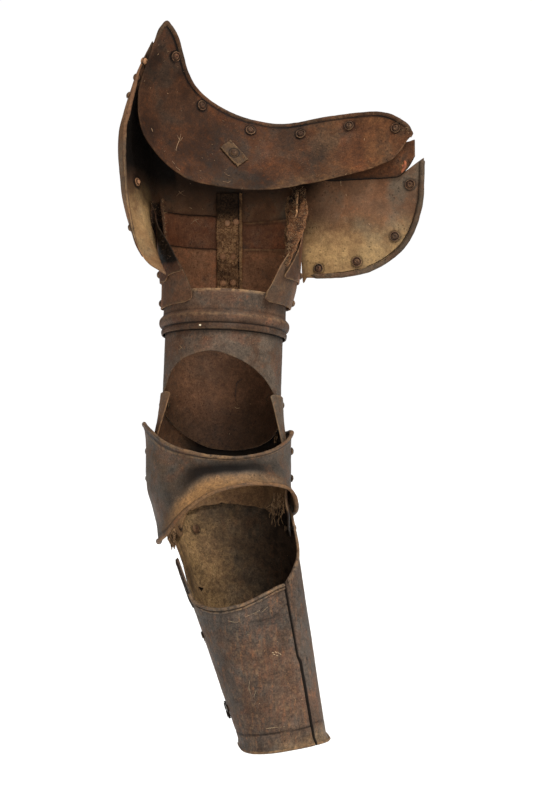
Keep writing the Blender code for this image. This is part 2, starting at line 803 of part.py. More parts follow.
# ---------------------------------------------------------------- strap washer
washer_spot, washer_normal = crest_at(4.86, 0.51)
inner = -washer_normal
WASHER_LIFT = 1.3  # clears the plate, which is hollow here
place = facing(washer_spot + inner * (PLATE + WASHER_LIFT + 0.7), inner)
mesh = bpy.data.meshes.new("strap_washer")
bm = bmesh.new()
bmesh.ops.create_cube(bm, size=1.0)
bmesh.ops.scale(bm, vec=(13 * MM, 25 * MM, 1.4 * MM), verts=bm.verts)
bm.to_mesh(mesh)
bm.free()
strap_washer = bpy.data.objects.new("strap_washer", mesh)
strap_washer.matrix_world = place @ Matrix.Rotation(radians(38), 4, "Z")
harness.objects.link(strap_washer)
finish(strap_washer, "rusted_iron")
rivet(
    "strap_washer_rivet",
    washer_spot,
    washer_normal,
    PLATE + WASHER_LIFT + 1.4,
    (crest_plate, strap_washer),
    head=3.6,
    rise=1.8,
    tail=3.6,
    tail_rise=2.2,
)

# ---------------------------------------------------------------- rivets of the shoulder
for number, station, across in CREST_RIVETS:
    spot, normal = crest_at(station, across)
    rivet(f"crest_rivet_{number}", spot, normal, PLATE, (crest_plate,), head=3.0, rise=1.5, tail=2.7, tail_rise=1.8, washer=4.3, g=1.3 if number in (1, 6) else 0.9)

#              name       round   z
WING_RIVETS = (
    ("left_1", 0.26, 77.8),
    ("left_2", 0.22, 62.0),
    ("left_3", 0.20, 45.0),
    ("left_4", 0.72, -27.0),
    ("left_5", 0.10, -74.0),
    ("right_1", 6.80, -28.0),
    ("right_2", 6.72, -76.0),
    ("right_3", 6.22, -99.0),
    ("right_4", 5.42, -104.5),
)
for name, a, z in WING_RIVETS:
    spot, normal = main_at(a, z), main_normal(a, z)
    rivet(f"wing_rivet_{name}", spot, normal, PLATE, (main_plate,), head=3.0, rise=1.6, tail=2.7, tail_rise=1.6, washer=0.0 if name in ("left_1", "left_2", "left_3", "left_5") else 4.2, g=1.6 if name in ("left_2", "left_3", "left_5") else 0.7)


def lame_normal(table, angle, z):
    a = lame_at(table, angle + 1, z) - lame_at(table, angle - 1, z)
    b = lame_at(table, angle, z - 1) - lame_at(table, angle, z + 1)
    return b.cross(a).normalized()


for name, table, angle, z, grip, plates in (
    ("left_upper", UPPER_LAME, 272, -111.0, LAME + 2.6, (upper_pauldron_lame, lower_pauldron_lame)),
    ("right_upper", UPPER_LAME, 88, -112.0, LAME + 2.6, (upper_pauldron_lame, lower_pauldron_lame)),
    ("left_lower", LOWER_LAME, 270, -137.5, LAME + 4.0, (lower_pauldron_lame, turner_collar)),
    ("right_lower", LOWER_LAME, 90, -137.5, LAME + 6.6, (lower_pauldron_lame, turner_collar)),
):
    spot, normal = lame_at(table, angle, z), lame_normal(table, angle, z)
    if normal.dot(spot - Vector((-4, 9, z))) < 0:
        normal.negate()
    rivet(f"lame_rivet_{name}", spot, normal, grip, plates, head=3.4, rise=2.2)

#                 x      z     y of the outer face, outermost plate
STRAP_RIVETS = (
    (1, -7.0, -55.0, 73.4, "main"),
    (2, 1.6, -54.0, 73.4, "main"),
    (3, -11.3, -88.0, 70.4, "both"),
    (4, -1.4, -88.0, 70.9, "both"),
    (5, -11.3, -113.5, 71.4, "both"),
    (6, -1.6, -113.0, 71.8, "both"),
)
for number, x, z, y, through_plates in STRAP_RIVETS:
    plates = (main_plate, upper_pauldron_lame, center_leather) if through_plates == "main" else (upper_pauldron_lame, lower_pauldron_lame, center_leather)
    inner = min(center_leather_at(x + dx, z + dz).y for dx in (-3.1, 3.1) for dz in (-3.1, 3.1)) - LEATHER
    rivet(f"strap_rivet_{number}", Vector((x, y, z)), Vector((0, 1, 0)), y - inner, plates, head=3.2, rise=1.6, tail=3.1, tail_rise=1.5, steps=8)

# ---------------------------------------------------------------- pivots of the elbow
#            name      axis      outward  x of the outer face, grip, plates
PIVOT_RIVETS = (
    ("cannon_pivot_left", "cannon", -1, -67.6, 6.4, ("elbow_upper_lame", "upper_cannon")),
    ("cannon_pivot_right", "cannon", 1, 45.6, 5.9, ("elbow_upper_lame", "upper_cannon")),
    ("couter_upper_pivot_left", "upper", -1, -80.1, 8.0, ("couter", "elbow_upper_lame")),
    ("couter_upper_pivot_right", "upper", 1, 54.2, 6.8, ("couter", "elbow_upper_lame")),
    ("couter_lower_pivot_left", "lower", -1, -79.8, 10.0, ("couter", "elbow_lower_lame")),
    ("couter_lower_pivot_right", "lower", 1, 54.1, 6.3, ("couter", "elbow_lower_lame")),
    ("forearm_pivot_left", "forearm", -1, -58.6, 9.8, ("lower_cannon", "elbow_lower_lame")),
    ("forearm_pivot_right", "forearm", 1, 56.7, 7.6, ("lower_cannon", "elbow_lower_lame")),
)
plates_by_name = {
    plate.name: plate
    for plate in (upper_cannon, elbow_upper_lame, couter, elbow_lower_lame, lower_cannon)
}
for name, axis, outward, x, grip, names in PIVOT_RIVETS:
    _, y, z = PIVOTS[axis]
    rivet(
        name,
        Vector((x, y, z)),
        Vector((outward, 0, 0)),
        grip,
        [plates_by_name[n] for n in names],
        head=3.8,
        rise=2.4,
        tail=3.0,
        tail_rise=1.6,
        shank=PIVOT_SHANK,
        steps=10,
        g=0.3,
    )

# A rivet head inside the back shell, by its upper edge.
spot = shell_at(-141 + 360, 25.0)
spot_normal = forearm.outward(-141)
rivet("forearm_rivet", spot, spot_normal, PLATE, (lower_cannon,), head=2.6, rise=1.0, tail=4.2, tail_rise=2.0, g=0.6)

# ---------------------------------------------------------------- hinges of the front shell
hinge_points = {
    place: forearm.at(angle, s, forearm_radius(s) + lift) for place, (s, angle, lift, *_) in HINGES.items()
}
hinge_foot = hinge_points["lower"]
hinge_up = (hinge_points["upper"] - hinge_foot).normalized()


def barrel(at, radius, length, collection):
    """A cylinder along the hinge's line."""
    mesh = bpy.data.meshes.new("barrel")
    bm = bmesh.new()
    bmesh.ops.create_cone(bm, cap_ends=True, segments=14, radius1=radius * MM, radius2=radius * MM, depth=length * MM)
    bm.to_mesh(mesh)
    bm.free()
    obj = bpy.data.objects.new("barrel", mesh)
    obj.matrix_world = facing(at, hinge_up)
    obj.hide_render = True
    obj.display_type = "WIRE"
    collection.objects.link(obj)
    return obj


def leaf(name, columns, at, wall, knuckle, length, pin):
    obj = sheet(name, columns, wall, 1, "rusted_iron")
    for operation, radius, reach in (("UNION", knuckle, length), ("DIFFERENCE", pin + 0.3, 2 * length)):
        cut = obj.modifiers.new("barrel", "BOOLEAN")
        cut.operation = operation
        cut.object = barrel(at, radius, reach, cutters)
    return obj


for place, (s, angle, lift, knuckle, length, pin, wall) in HINGES.items():
    middle = hinge_points[place]
    half = length / 2 + 0.2
    upper, lower = middle + hinge_up * half, middle - hinge_up * half
    near = degrees(knuckle * 0.5 / forearm_radius(s))
    rise = lift - 0.4 - wall / 2
    levels = (2 * half - 0.4, 0.6)
    door_columns = [
        [forearm.at(a, s + h, forearm_radius(s + h) + 0.4 + up * rise) for h in levels]
        for a, up in ((angle + near, 1), (angle + near + 3.5, 0.62), (-91, 0.06), (-84, 0), (-77, 0))
    ]
    shell_columns = [
        [shell_at(a + 360, s - h) + (0.4 + up * (rise + 1.6)) * forearm.outward(a) for h in levels[::-1]]
        for a, up in ((angle - 17, 0), (angle - 10, 0.0), (angle - near - 3, 0.5), (angle - near, 1))
    ]
    leaf(f"hinge_{place}_door_leaf", door_columns, upper, wall, knuckle, length, pin)
    leaf(f"hinge_{place}_shell_leaf", shell_columns, lower, wall, knuckle, length, pin)
    end = 2 * half + 0.4
    turned(
        f"hinge_{place}_pin",
        ((0, end + 1.1), (2.0 * pin * 0.8, end + 0.8), (2.0 * pin, end), (pin, end), (pin, -end), (2.0 * pin, -end), (2.0 * pin * 0.8, -end - 0.8), (0, -end - 1.1)),
        10,
        facing(middle, hinge_up),
        "rivet_iron",
    )

# ---------------------------------------------------------------- what turns on what
#           axis              its point                     the pieces that turn on it
MOVERS = (
    ("turner", upper_arm.at(0, 0, 0), ("upper_cannon",)),
    ("cannon_pivots", Vector(PIVOTS["cannon"]), ("elbow_upper_lame", "cannon_pivot_left", "cannon_pivot_right")),
    (
        "couter_upper_pivots",
        Vector(PIVOTS["upper"]),
        ("couter", "couter_upper_pivot_left", "couter_upper_pivot_right", "couter_lower_pivot_left", "couter_lower_pivot_right"),
    ),
    ("couter_lower_pivots", Vector(PIVOTS["lower"]), ("elbow_lower_lame",)),
    (
        "forearm_pivots",
        Vector(PIVOTS["forearm"]),
        ("lower_cannon", "forearm_rivet", "forearm_pivot_left", "forearm_pivot_right")
        + tuple(f"hinge_{place}_{piece}" for place in HINGES for piece in ("shell_leaf", "pin")),
    ),
    (
        "door_hinge",
        hinge_foot,
        ("lower_cannon_door",) + tuple(f"hinge_{place}_door_leaf" for place in HINGES),
    ),
)
above = None
for name, point, pieces in MOVERS:
    axis = bpy.data.objects.new(f"{name}_axis", None)
    axis.empty_display_size = 0.02
    axis.location = point * MM
    harness.objects.link(axis)
    if above:
        axis.parent = above
        axis.matrix_parent_inverse = Matrix.Translation(-above_point * MM)
    for piece in pieces:
        bpy.data.objects[piece].parent = axis
        bpy.data.objects[piece].matrix_parent_inverse = Matrix.Translation(-point * MM)
    above, above_point = axis, point
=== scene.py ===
"""Looks of the rusted arm harness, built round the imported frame.

Sizes in the tables are millimetres, in the frame's own axes; meshes are made in metres.
-Y is the harness's inner side, which the camera looks at.
"""

import bpy  # noqa: E402
import numpy as np  # noqa: E402
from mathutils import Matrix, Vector  # noqa: E402


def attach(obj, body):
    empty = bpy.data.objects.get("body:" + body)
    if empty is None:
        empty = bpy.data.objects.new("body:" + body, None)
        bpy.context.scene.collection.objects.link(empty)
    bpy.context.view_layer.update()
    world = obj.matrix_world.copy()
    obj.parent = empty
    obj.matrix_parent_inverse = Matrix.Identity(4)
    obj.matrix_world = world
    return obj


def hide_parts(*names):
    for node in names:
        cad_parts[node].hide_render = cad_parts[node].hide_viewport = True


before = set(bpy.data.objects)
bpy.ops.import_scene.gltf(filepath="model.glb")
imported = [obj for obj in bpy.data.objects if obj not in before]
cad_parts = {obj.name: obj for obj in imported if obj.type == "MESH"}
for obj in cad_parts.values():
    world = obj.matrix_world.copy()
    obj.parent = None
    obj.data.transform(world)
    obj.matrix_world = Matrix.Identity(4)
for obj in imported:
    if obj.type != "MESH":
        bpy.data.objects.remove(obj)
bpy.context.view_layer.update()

MM = 0.001
rng = np.random.default_rng(11)

# ---------------------------------------------------------------- sizes of the plates
PLATE = 1.3
LAME = 1.2
LEATHER = 2.0
CANNON_RADIUS = 55.0
WRIST_RADIUS = 37.9
FOREARM_RADIUS = 55.3
FOREARM_LENGTH = 187.0
UPPER_ARM = ((-8.3, 10.0, -158.6), (0.033, 0.105, 0.994))
ELBOW = ((-13.0, -2.4, -276.0), (0.0, 0.09, 0.996))
FOREARM = ((3.6, -10.0, -364.7), (-0.24, 0.06, 0.97))

# Crest plate, a section in each row: its point on the turned neck rim, then on its
# lower edge.
#          rim_x  rim_y  rim_z  low_x  low_y  low_z
CREST = (
    (-57.3, -38, 114.6, -62.3, -38, 111.2),
    (-48.1, -32, 100.1, -70.4, -38, 93.0),
    (-39.7, -12, 71.4, -84.5, -40, 47.6),
    (-26.2, 4, 55.7, -78.8, -33, 9.3),
    (-3.2, 16, 43.4, -47.9, -21, -22.2),
    (22.5, 21, 35.9, -10.7, -12, -31.7),
    (50.0, 22, 33.3, 33.5, -8, -33.8),
    (92.8, 14, 39.2, 91.8, -7, -23.2),
    (135.1, 2, 40.7, 143.4, -9, -8.2),
    (156.5, -7, 30.6, 161.7, -10, 12.0),
    (166.4, -10, 19.0, 164.5, -10, 14.5),
)
CREST_CROWN = 3.0

# Main plate, a level in each row: the course of the wall from the narrow wing's front
# edge, round the back, to the broad wing's outer edge.
#        z   wing_x wing_y side_x side_y corner_x corner_y back_x back_y turn_x turn_y joint_x joint_y broad_x broad_y end_x end_y
MAIN = (
    (97, -72.6, -32, -68, -29, -60, -25, -50, -19, -30, -9, 20, 4, 80, 4, 150, -2),
    (62, -87.5, -46, -80, -33, -66, -15, -40, 4, 6, 20, 44, 22, 100, 12, 170, -3),
    (30, -96.5, -54, -89.5, -26, -72, 2, -30, 24, 14, 30, 52, 26, 108, 13, 175, -3),
    (12, -101.5, -58, -89.5, -12, -70, 22, -14, 43, 30, 40, 66, 26, 116, 11, 177, -3),
    (-7, -102.5, -60, -88, -2, -67, 36, -10, 57, 40, 48, 68, 28, 118, 10, 177, -3),
    (-37, -101.0, -60, -81.5, 8, -64, 50, -7, 70.5, 45, 57, 68.5, 30, 116, 9, 176.5, -3.5),
    (-63, -96.5, -56.5, -77.5, 5, -62.5, 50.5, -5, 73.8, 45, 60, 68, 31, 112, 8, 171.5, -3),
    (-84, -91.0, -50, -72.6, -5, -60, 44, -5, 73, 43, 57, 65.5, 27, 108, 7, 163, -2),
    (-100, -82.0, -44, -66.8, -19, -58, 30, -5, 73, 43, 57, 65.5, 24, 106, 7, 150, 0),
    (-117, -62.0, -38, -58, -33, -54, 10, -5, 73, 43, 57, 65.5, 22, 100, 8, 134, 4),
)
# Its edges: how far round (0 at the narrow wing, 7 at the broad wing's edge), and the
# heights of the upper and lower edge there.
#         round  top   bottom
MAIN_EDGES = (
    (0.00, 97.0, -104.5),
    (0.30, 96.0, -109.0),
    (0.62, 91.5, -113.0),
    (0.84, 85.0, -114.5),
    (0.93, 82.0, -108.0),
    (1.00, 79.0, -95.0),
    (1.06, 76.0, -82.0),
    (1.14, 72.0, -72.0),
    (1.28, 64.5, -66.5),
    (1.60, 50.0, -66.0),
    (2.30, 33.0, -66.0),
    (3.00, 24.0, -66.0),
    (4.00, 21.0, -66.5),
    (4.80, 16.0, -66.0),
    (4.93, 15.0, -70.0),
    (5.03, 14.0, -117.0),
    (5.14, 12.0, -112.2),
    (5.53, 6.1, -113.2),
    (5.94, -0.8, -113.2),
    (6.18, -5.4, -112.3),
    (6.38, -9.8, -111.0),
    (6.56, -16.5, -109.0),
    (6.62, -19.0, -107.8),
    (6.70, -16.3, -106.0),
    (6.83, -10.6, -101.5),
    (6.90, -7.5, -96.5),
    (6.95, -5.5, -89.0),
    (6.98, -4.3, -79.0),
    (7.00, -3.5, -62.0),
)

# How far the narrow wing's front edge is rolled in towards the arm.
#             z    in
WING_ROLL = ((97, 0.0), (62, 1.5), (30, 4.5), (-7, 7.5), (-37, 7.5), (-63, 6.0), (-84, 4.0), (-117, 0.5))

# Neck lame, which lies inside the main plate's upper edge: how far round, and the
# heights of its upper and lower edge.
#         round   top   bottom
NECK_EDGES = (
    (1.20, 63.0, 46.0),
    (2.00, 49.0, 20.0),
    (3.00, 35.0, 2.0),
    (4.00, 31.0, -8.0),
    (5.00, 26.0, -16.0),
    (5.65, 23.0, -21.7),
    (6.15, 18.0, -21.8),
    (6.60, 11.5, -20.6),
    (6.76, 11.5, -13.0),
    (6.87, 13.3, -2.3),
)

# Pauldron lames, a level in each row: centre, side radius and back radius.
#             z   mid_x  mid_y  side  back
UPPER_LAME = (
    (-120, -3.4, 10.4, 65.3, 61.8),
    (-97, -3.0, 9.0, 67.0, 62.4),
    (-80, -3.0, 8.0, 68.0, 62.5),
    (-48, -3.0, 6.0, 70.5, 61.9),
)
LOWER_LAME = (
    (-145, -7.2, 11.8, 60.8, 60.0),
    (-120, -3.6, 10.5, 63.4, 59.9),
    (-97, -3.1, 9.1, 64.4, 59.7),
    (-80, -3.0, 8.0, 65.2, 59.7),
)

# Turner collar, its outer face: height on the arm's axis and radius.
#               s     radius
COLLAR = (
    (25.0, 57.3),
    (9.0, 57.2),
    (5.8, 57.9),
    (3.0, 60.2),
    (0.0, 60.9),
    (-3.2, 60.1),
    (-5.6, 57.9),
    (-8.2, 58.8),
    (-11.2, 58.2),
)
# Upper cannon: the flange that turns inside the collar's bead, then the tube.
#               s     radius
CANNON_FLANGE = ((0.6, 58.3), (-1.6, 56.9), (-4.5, 55.2), (-12.0, 55.0))
# Its lower edge: angle round from the inner side, height on the arm's axis.
#                 angle     s
CANNON_EDGE = (
    (-172, -111.5),
    (-151, -105.5),
    (-126, -94.0),
    (-104, -83.5),
    (-90, -77.0),
    (-73, -63.0),
    (-52, -43.6),
    (-34, -35.2),
    (-10, -30.8),
    (18, -37.7),
    (38, -47.5),
    (55, -59.0),
    (67, -70.0),
    (84, -86.0),
    (104, -95.0),
    (126, -104.5),
    (146, -110.0),
    (167, -112.5),
)

# Pivots of the elbow: x of the axis's middle, y and z of the axis.
#                  mid_x     y       z
PIVOTS = {
    "cannon": (-10.8, 16.0, -233.0),
    "upper": (-12.3, 8.5, -275.8),
    "lower": (-12.2, 7.0, -301.0),
    "forearm": (0.0, 5.0, -347.5),
}

# Elbow lames, a level in each row on the upper arm's or the forearm's axis.
#                   s    side  back
ELBOW_UPPER = (
    (-66.0, 56.9, 57.4),
    (-88.0, 58.8, 62.0),
    (-101.0, 60.8, 64.8),
    (-112.0, 62.6, 61.6),
    (-128.0, 64.2, 60.2),
)
#                      angle   top   bottom
ELBOW_UPPER_EDGES = (
    (54, -68.6, -70.2),
    (57.5, -67.0, -77.5),
    (61, -66.5, -86.0),
    (65, -66.0, -98.0),
    (69, -66.0, -112.0),
    (74, -66.0, -118.5),
    (84, -66.0, -123.0),
    (98, -66.0, -126.5),
    (112, -70.0, -126.0),
    (130, -86.0, -124.0),
    (150, -98.0, -124.5),
    (180, -101.0, -125.0),
)
#                  z     mid_x  mid_y  side   back
ELBOW_LOWER = (
    (-292.0, -12.2, -4.5, 64.6, 64.0),
    (-310.0, -10.0, -5.5, 61.0, 57.5),
    (-321.0, -7.4, -6.5, 58.0, 55.5),
    (-332.0, -4.0, -7.5, 56.4, 53.5),
    (-348.0, -0.2, -8.5, 53.2, 51.5),
    (-360.0, 3.6, -9.6, 51.2, 50.0),
)
#                      angle   top    bottom
ELBOW_LOWER_EDGES = (
    (78, -297.0, -347.0),
    (90, -295.2, -354.5),
    (104, -296.0, -355.5),
    (118, -300.0, -346.0),
    (135, -306.0, -335.0),
    (155, -308.0, -330.0),
    (180, -309.0, -328.5),
)

# Couter: its outer face in three rings from rim to rim, and the heights of its rims.
COUTER_SIDE = 67.2
COUTER_BACK = 82.0
COUTER_FRONT = 68.0
#             angle   top   bottom  left and right differ, so the angle runs all round
COUTER_RIMS = (
    (-180, 14.0, -64.0),
    (-150, 13.0, -66.0),
    (-120, 13.0, -72.0),
    (-103, 17.5, -79.5),
    (-93, 24.5, -82.5),
    (-84, 25.5, -82.5),
    (-60, 17.0, -79.5),
    (-48, 9.0, -75.5),
    (-34, 1.5, -64.5),
    (-20, -3.5, -52.5),
    (-4, -7.5, -40.5),
    (14, -8.8, -33.8),
    (28, -6.8, -31.3),
    (45, -2.0, -31.8),
    (62, 5.4, -34.5),
    (76, 11.7, -41.0),
    (92, 18.0, -52.0),
    (108, 19.0, -58.0),
    (130, 16.0, -62.0),
    (152, 14.0, -63.5),
)

# The couter's narrow side, below its middle: height on the elbow's axis and half-width.
COUTER_LEFT = ((-20, 67.2), (-34, 66.0), (-51, 61.0), (-69, 56.8), (-84, 55.0))

# Forearm: upper edge of the back shell, angle round and height on the forearm's axis.
#                 angle     s
SHELL_TOP = (
    (44, -39.5),
    (47, -37.5),
    (56, -32.0),
    (66, -25.5),
    (78, -18.0),
    (90, -8.0),
    (97, 4.0),
    (104, 21.0),
    (112, 34.0),
    (125, 39.0),
    (150, 44.0),
    (180, 47.0),
    (210, 48.0),
    (235, 46.5),
    (250, 45.0),
    (260, 41.0),
    (268, 33.0),
    (274, 25.0),
    (278, 17.5),
)
# How far the back shell dips inside the front shell by the hinges: height, depth.
SHELL_TUCK = ((-190, 2.6), (-60, 2.6), (-21, 2.8), (0, 4.4), (20, 3.9), (40, 3.3), (50, 3.0))
#                 angle     s      upper edge of the front shell
DOOR_TOP = (
    (-90.5, 3.0),
    (-86, 4.5),
    (-77, 3.0),
    (-74.5, -18.0),
    (-71, -33.0),
    (-64, -37.0),
    (-53, -40.8),
    (-41, -44.4),
    (-24, -46.8),
    (-9, -46.8),
    (6, -44.6),
    (21, -41.9),
    (33, -39.8),
    (41.5, -39.3),
)
#                 angle     s      lower edge, all round
WRIST_EDGE = (
    (-180, -173.0),
    (-90, -173.5),
    (-63, -178.3),
    (-20, -181.3),
    (9, -182.8),
    (42, -185.5),
    (90, -189.0),
    (135, -181.0),
)
# The front shell's hinges: height on the forearm's axis, angle round, how far the pin
# lies over the front shell's face, and the radius and length of a knuckle.
#             s      angle   lift  knuckle  long  pin   leaf
HINGES = {
    "upper": (-72.0, -106.0, 2.0, 1.6, 5.0, 0.7, 1.0),
    "lower": (-142.0, -100.0, 2.3, 1.9, 6.4, 0.8, 1.1),
}
UNDERLAP = 3.2  # how far the back shell's edge is stepped in, to lie under the front shell's

#   number  station  across
CREST_RIVETS = (
    (1, 1.45, 0.20),
    (2, 3.20, 0.13),
    (3, 4.95, 0.15),
    (4, 6.38, 0.19),
    (5, 7.33, 0.20),
    (6, 8.50, 0.36),
)

CENTER_LEATHER = ((-26, 63.3), (-36, 64.6), (-52, 65.1), (-66, 65.2), (-82, 65.2), (-98, 66.4), (-121, 67.9))

WING_RIVETS = (
    ("left_1", 0.26, 77.8),
    ("left_2", 0.22, 62.0),
    ("left_3", 0.20, 45.0),
    ("left_4", 0.72, -27.0),
    ("left_5", 0.10, -74.0),
    ("right_1", 6.80, -28.0),
    ("right_2", 6.72, -76.0),
    ("right_3", 6.22, -99.0),
    ("right_4", 5.42, -104.5),
)

STRAP_RIVETS = (
    (1, -7.0, -55.0, 73.4, "main"),
    (2, 1.6, -54.0, 73.4, "main"),
    (3, -11.3, -88.0, 70.4, "both"),
    (4, -1.4, -88.0, 70.9, "both"),
    (5, -11.3, -113.5, 71.4, "both"),
    (6, -1.6, -113.0, 71.8, "both"),
)

PIVOT_RIVETS = (
    ("cannon_pivot_left", "cannon", -1, -67.6, 6.4, ("elbow_upper_lame", "upper_cannon")),
    ("cannon_pivot_right", "cannon", 1, 45.6, 5.9, ("elbow_upper_lame", "upper_cannon")),
    ("couter_upper_pivot_left", "upper", -1, -80.1, 8.0, ("couter", "elbow_upper_lame")),
    ("couter_upper_pivot_right", "upper", 1, 54.2, 6.8, ("couter", "elbow_upper_lame")),
    ("couter_lower_pivot_left", "lower", -1, -79.8, 10.0, ("couter", "elbow_lower_lame")),
    ("couter_lower_pivot_right", "lower", 1, 54.1, 6.3, ("couter", "elbow_lower_lame")),
    ("forearm_pivot_left", "forearm", -1, -58.6, 9.8, ("lower_cannon", "elbow_lower_lame")),
    ("forearm_pivot_right", "forearm", 1, 56.7, 7.6, ("lower_cannon", "elbow_lower_lame")),
)

# ---------------------------------------------------------------- curves on arrays
def smooth(xs, ys, x, period=None):
    """Values at x of a smooth curve through (xs, ys) that doesn't overshoot."""
    xs, ys, x = (np.asarray(v, float) for v in (xs, ys, x))
    if xs[0] > xs[-1]:
        xs, ys = xs[::-1], ys[::-1]
    if period:
        x = (x - xs[0]) % period + xs[0]
        xs = np.concatenate([xs[-2:] - period, xs, xs[:2] + period])
        ys = np.concatenate([ys[-2:], ys, ys[:2]])
    h = np.diff(xs)
    d = np.diff(ys) / h
    m = np.concatenate([d[:1], np.zeros(len(xs) - 2), d[-1:]])
    a, b = d[:-1], d[1:]
    same = a * b > 0
    m[1:-1][same] = 2 * a[same] * b[same] / (a[same] + b[same])
    i = np.clip(np.searchsorted(xs, x, side="right") - 1, 0, len(xs) - 2)
    t = np.clip((x - xs[i]) / h[i], 0, 1)
    return (
        (2 * t**3 - 3 * t**2 + 1) * ys[i]
        + (t**3 - 2 * t**2 + t) * h[i] * m[i]
        + (3 * t**2 - 2 * t**3) * ys[i + 1]
        + (t**3 - t**2) * h[i] * m[i + 1]
    )


def column(table, key, value, x, period=None):
    return smooth([r[key] for r in table], [r[value] for r in table], x, period)


def through(points, t):
    """Catmull-Rom through points (n, ..., 3) at parameters t (0 .. n-1), one per sample."""
    points = np.concatenate([2 * points[:1] - points[1:2], points, 2 * points[-1:] - points[-2:-1]])
    i = np.clip(t.astype(int), 0, len(points) - 4)
    f = (t - i)[..., None]
    if points.ndim == 2:
        p0, p1, p2, p3 = (points[i + k] for k in range(4))
    else:
        grid = np.indices(t.shape)
        p0, p1, p2, p3 = (points[(i + k, *grid)] for k in range(4))
    return 0.5 * (2 * p1 + (p2 - p0) * f + (2 * p0 - 5 * p1 + 4 * p2 - p3) * f**2 + (3 * p1 - p0 - 3 * p2 + p3) * f**3)


def step(lo, hi, x):
    t = np.clip((np.asarray(x, float) - lo) / (hi - lo), 0, 1)
    return t * t * (3 - 2 * t)


def hump(mid, width, x):
    return np.exp(-(((np.asarray(x, float) - mid) / width) ** 2))


def unit(v):
    return v / np.maximum(np.linalg.norm(v, axis=-1, keepdims=True), 1e-9)


def sin_d(a):
    return np.sin(np.radians(a))


def cos_d(a):
    return np.cos(np.radians(a))


class Axis:
    """An arm's axis. Angle 0 is the inner side (-Y), 90 is +X; s runs up the axis."""

    def __init__(self, origin, up):
        self.origin = np.array(origin, float)
        self.up = unit(np.array(up, float))
        side = np.array((1.0, 0, 0))
        self.side = unit(side - side.dot(self.up) * self.up)
        self.front = np.cross(self.side, self.up)

    def at(self, angle, s, side, front=None, back=None):
        front = side if front is None else front
        back = side if back is None else back
        depth = np.where(cos_d(angle) > 0, front, back)
        return (
            self.origin
            + np.asarray(s, float)[..., None] * self.up
            + (side * sin_d(angle))[..., None] * self.side
            + (depth * cos_d(angle))[..., None] * self.front
        )

    def outward(self, angle):
        return sin_d(angle)[..., None] * self.side + cos_d(angle)[..., None] * self.front


upper_arm, elbow, forearm = Axis(*UPPER_ARM), Axis(*ELBOW), Axis(*FOREARM)


def lattice_noise(p, seed):
    """Smooth noise, -1 to 1, of points p in cells."""
    cell = np.floor(p).astype(np.int64)
    f = p - cell
    f = f * f * f * (f * (f * 6 - 15) + 10)
    total = 0.0
    for dx in (0, 1):
        for dy in (0, 1):
            for dz in (0, 1):
                n = (cell[..., 0] + dx) * 73856093 ^ (cell[..., 1] + dy) * 19349663 ^ (cell[..., 2] + dz) * 83492791
                n = (n ^ (seed * 668265263)) & 0xFFFFFFFF
                n = ((n ^ (n >> 15)) * 2246822519) & 0xFFFFFFFF
                n = ((n ^ (n >> 13)) * 3266489917) & 0xFFFFFFFF
                value = ((n ^ (n >> 16)) & 0xFFFF) / 32767.5 - 1
                w = (f[..., 0] if dx else 1 - f[..., 0]) * (f[..., 1] if dy else 1 - f[..., 1]) * (f[..., 2] if dz else 1 - f[..., 2])
                total = total + w * value
    return total


def rough(p, cell, seed=1, octaves=3, fall=0.5):
    """Noise of several octaves, about -1 to 1, of points in mm; cell is its largest size."""
    total, weight, gain = 0.0, 0.0, 1.0
    for k in range(octaves):
        total = total + gain * lattice_noise(np.asarray(p, float) * (2.03**k / cell) + 17.3 * k, seed + k)
        weight += gain
        gain *= fall
    return total / weight * 1.5


def wander(x, cell, seed=1, octaves=3):
    """Noise along one line."""
    x = np.asarray(x, float)
    return rough(np.stack([x, 0 * x + 3.7 * seed, 0 * x], -1), cell, seed, octaves)


# ---------------------------------------------------------------- mesh making
# Masks painted on each vertex: ochre, worn edges with some painted highlights, black for dirt and for painted shade,
# grey and red.
MASKS = ("ochre", "wear", "dark", "grey", "red")


class Build:
    """Gathers vertices, faces and masks of one piece and makes its mesh."""

    def __init__(self):
        self.points, self.faces, self.masks, self.count = [], [], [], 0

    def add(self, points, faces, masks=None):
        points = np.asarray(points, float).reshape(-1, 3)
        self.points.append(points)
        self.faces += [np.asarray(f, int) + self.count for f in faces]
        self.masks.append({k: np.broadcast_to((masks or {}).get(k, 0.0), (len(points),)) for k in MASKS})
        self.count += len(points)
        return self

    def make(self, name, body, look, *replaces, slot=None):
        mesh = bpy.data.meshes.new(name)
        points = np.concatenate(self.points) * MM
        corners, starts, at = [], [], 0
        for f in self.faces:
            if not len(f):
                continue
            corners.append(f.reshape(-1))
            starts.append(at + np.arange(len(f)) * f.shape[1])
            at += f.size
        corners, starts = np.concatenate(corners), np.concatenate(starts)
        mesh.vertices.add(len(points))
        mesh.vertices.foreach_set("co", points.astype(np.float32).reshape(-1))
        mesh.loops.add(len(corners))
        mesh.loops.foreach_set("vertex_index", corners.astype(np.int32))
        mesh.polygons.add(len(starts))
        mesh.polygons.foreach_set("loop_start", starts.astype(np.int32))
        mesh.update(calc_edges=True)
        mesh.validate()
        mesh.shade_smooth()
        for k in MASKS:
            values = np.concatenate([m[k] for m in self.masks]).astype(np.float32)
            mesh.attributes.new(k, "FLOAT", "POINT").data.foreach_set("value", np.clip(values, 0, 1))
        obj = bpy.data.objects.new(name, mesh)
        bpy.context.scene.collection.objects.link(obj)
        mesh.materials.append(look)
        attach(obj, body)
        if replaces:
            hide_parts(*replaces)
        return obj


def grid_normals(p, closed, ref):
    """Unit normals of a grid, on the side that ref (a point or a direction array) asks for."""
    if closed:
        du = np.roll(p, -1, 0) - np.roll(p, 1, 0)
    else:
        du = np.gradient(p, axis=0)
    dv = np.gradient(p, axis=1)
    n = unit(np.cross(du, dv))
    mid = (len(p) // 2, p.shape[1] // 2)
    return n if n[mid].dot(ref) > 0 else -n


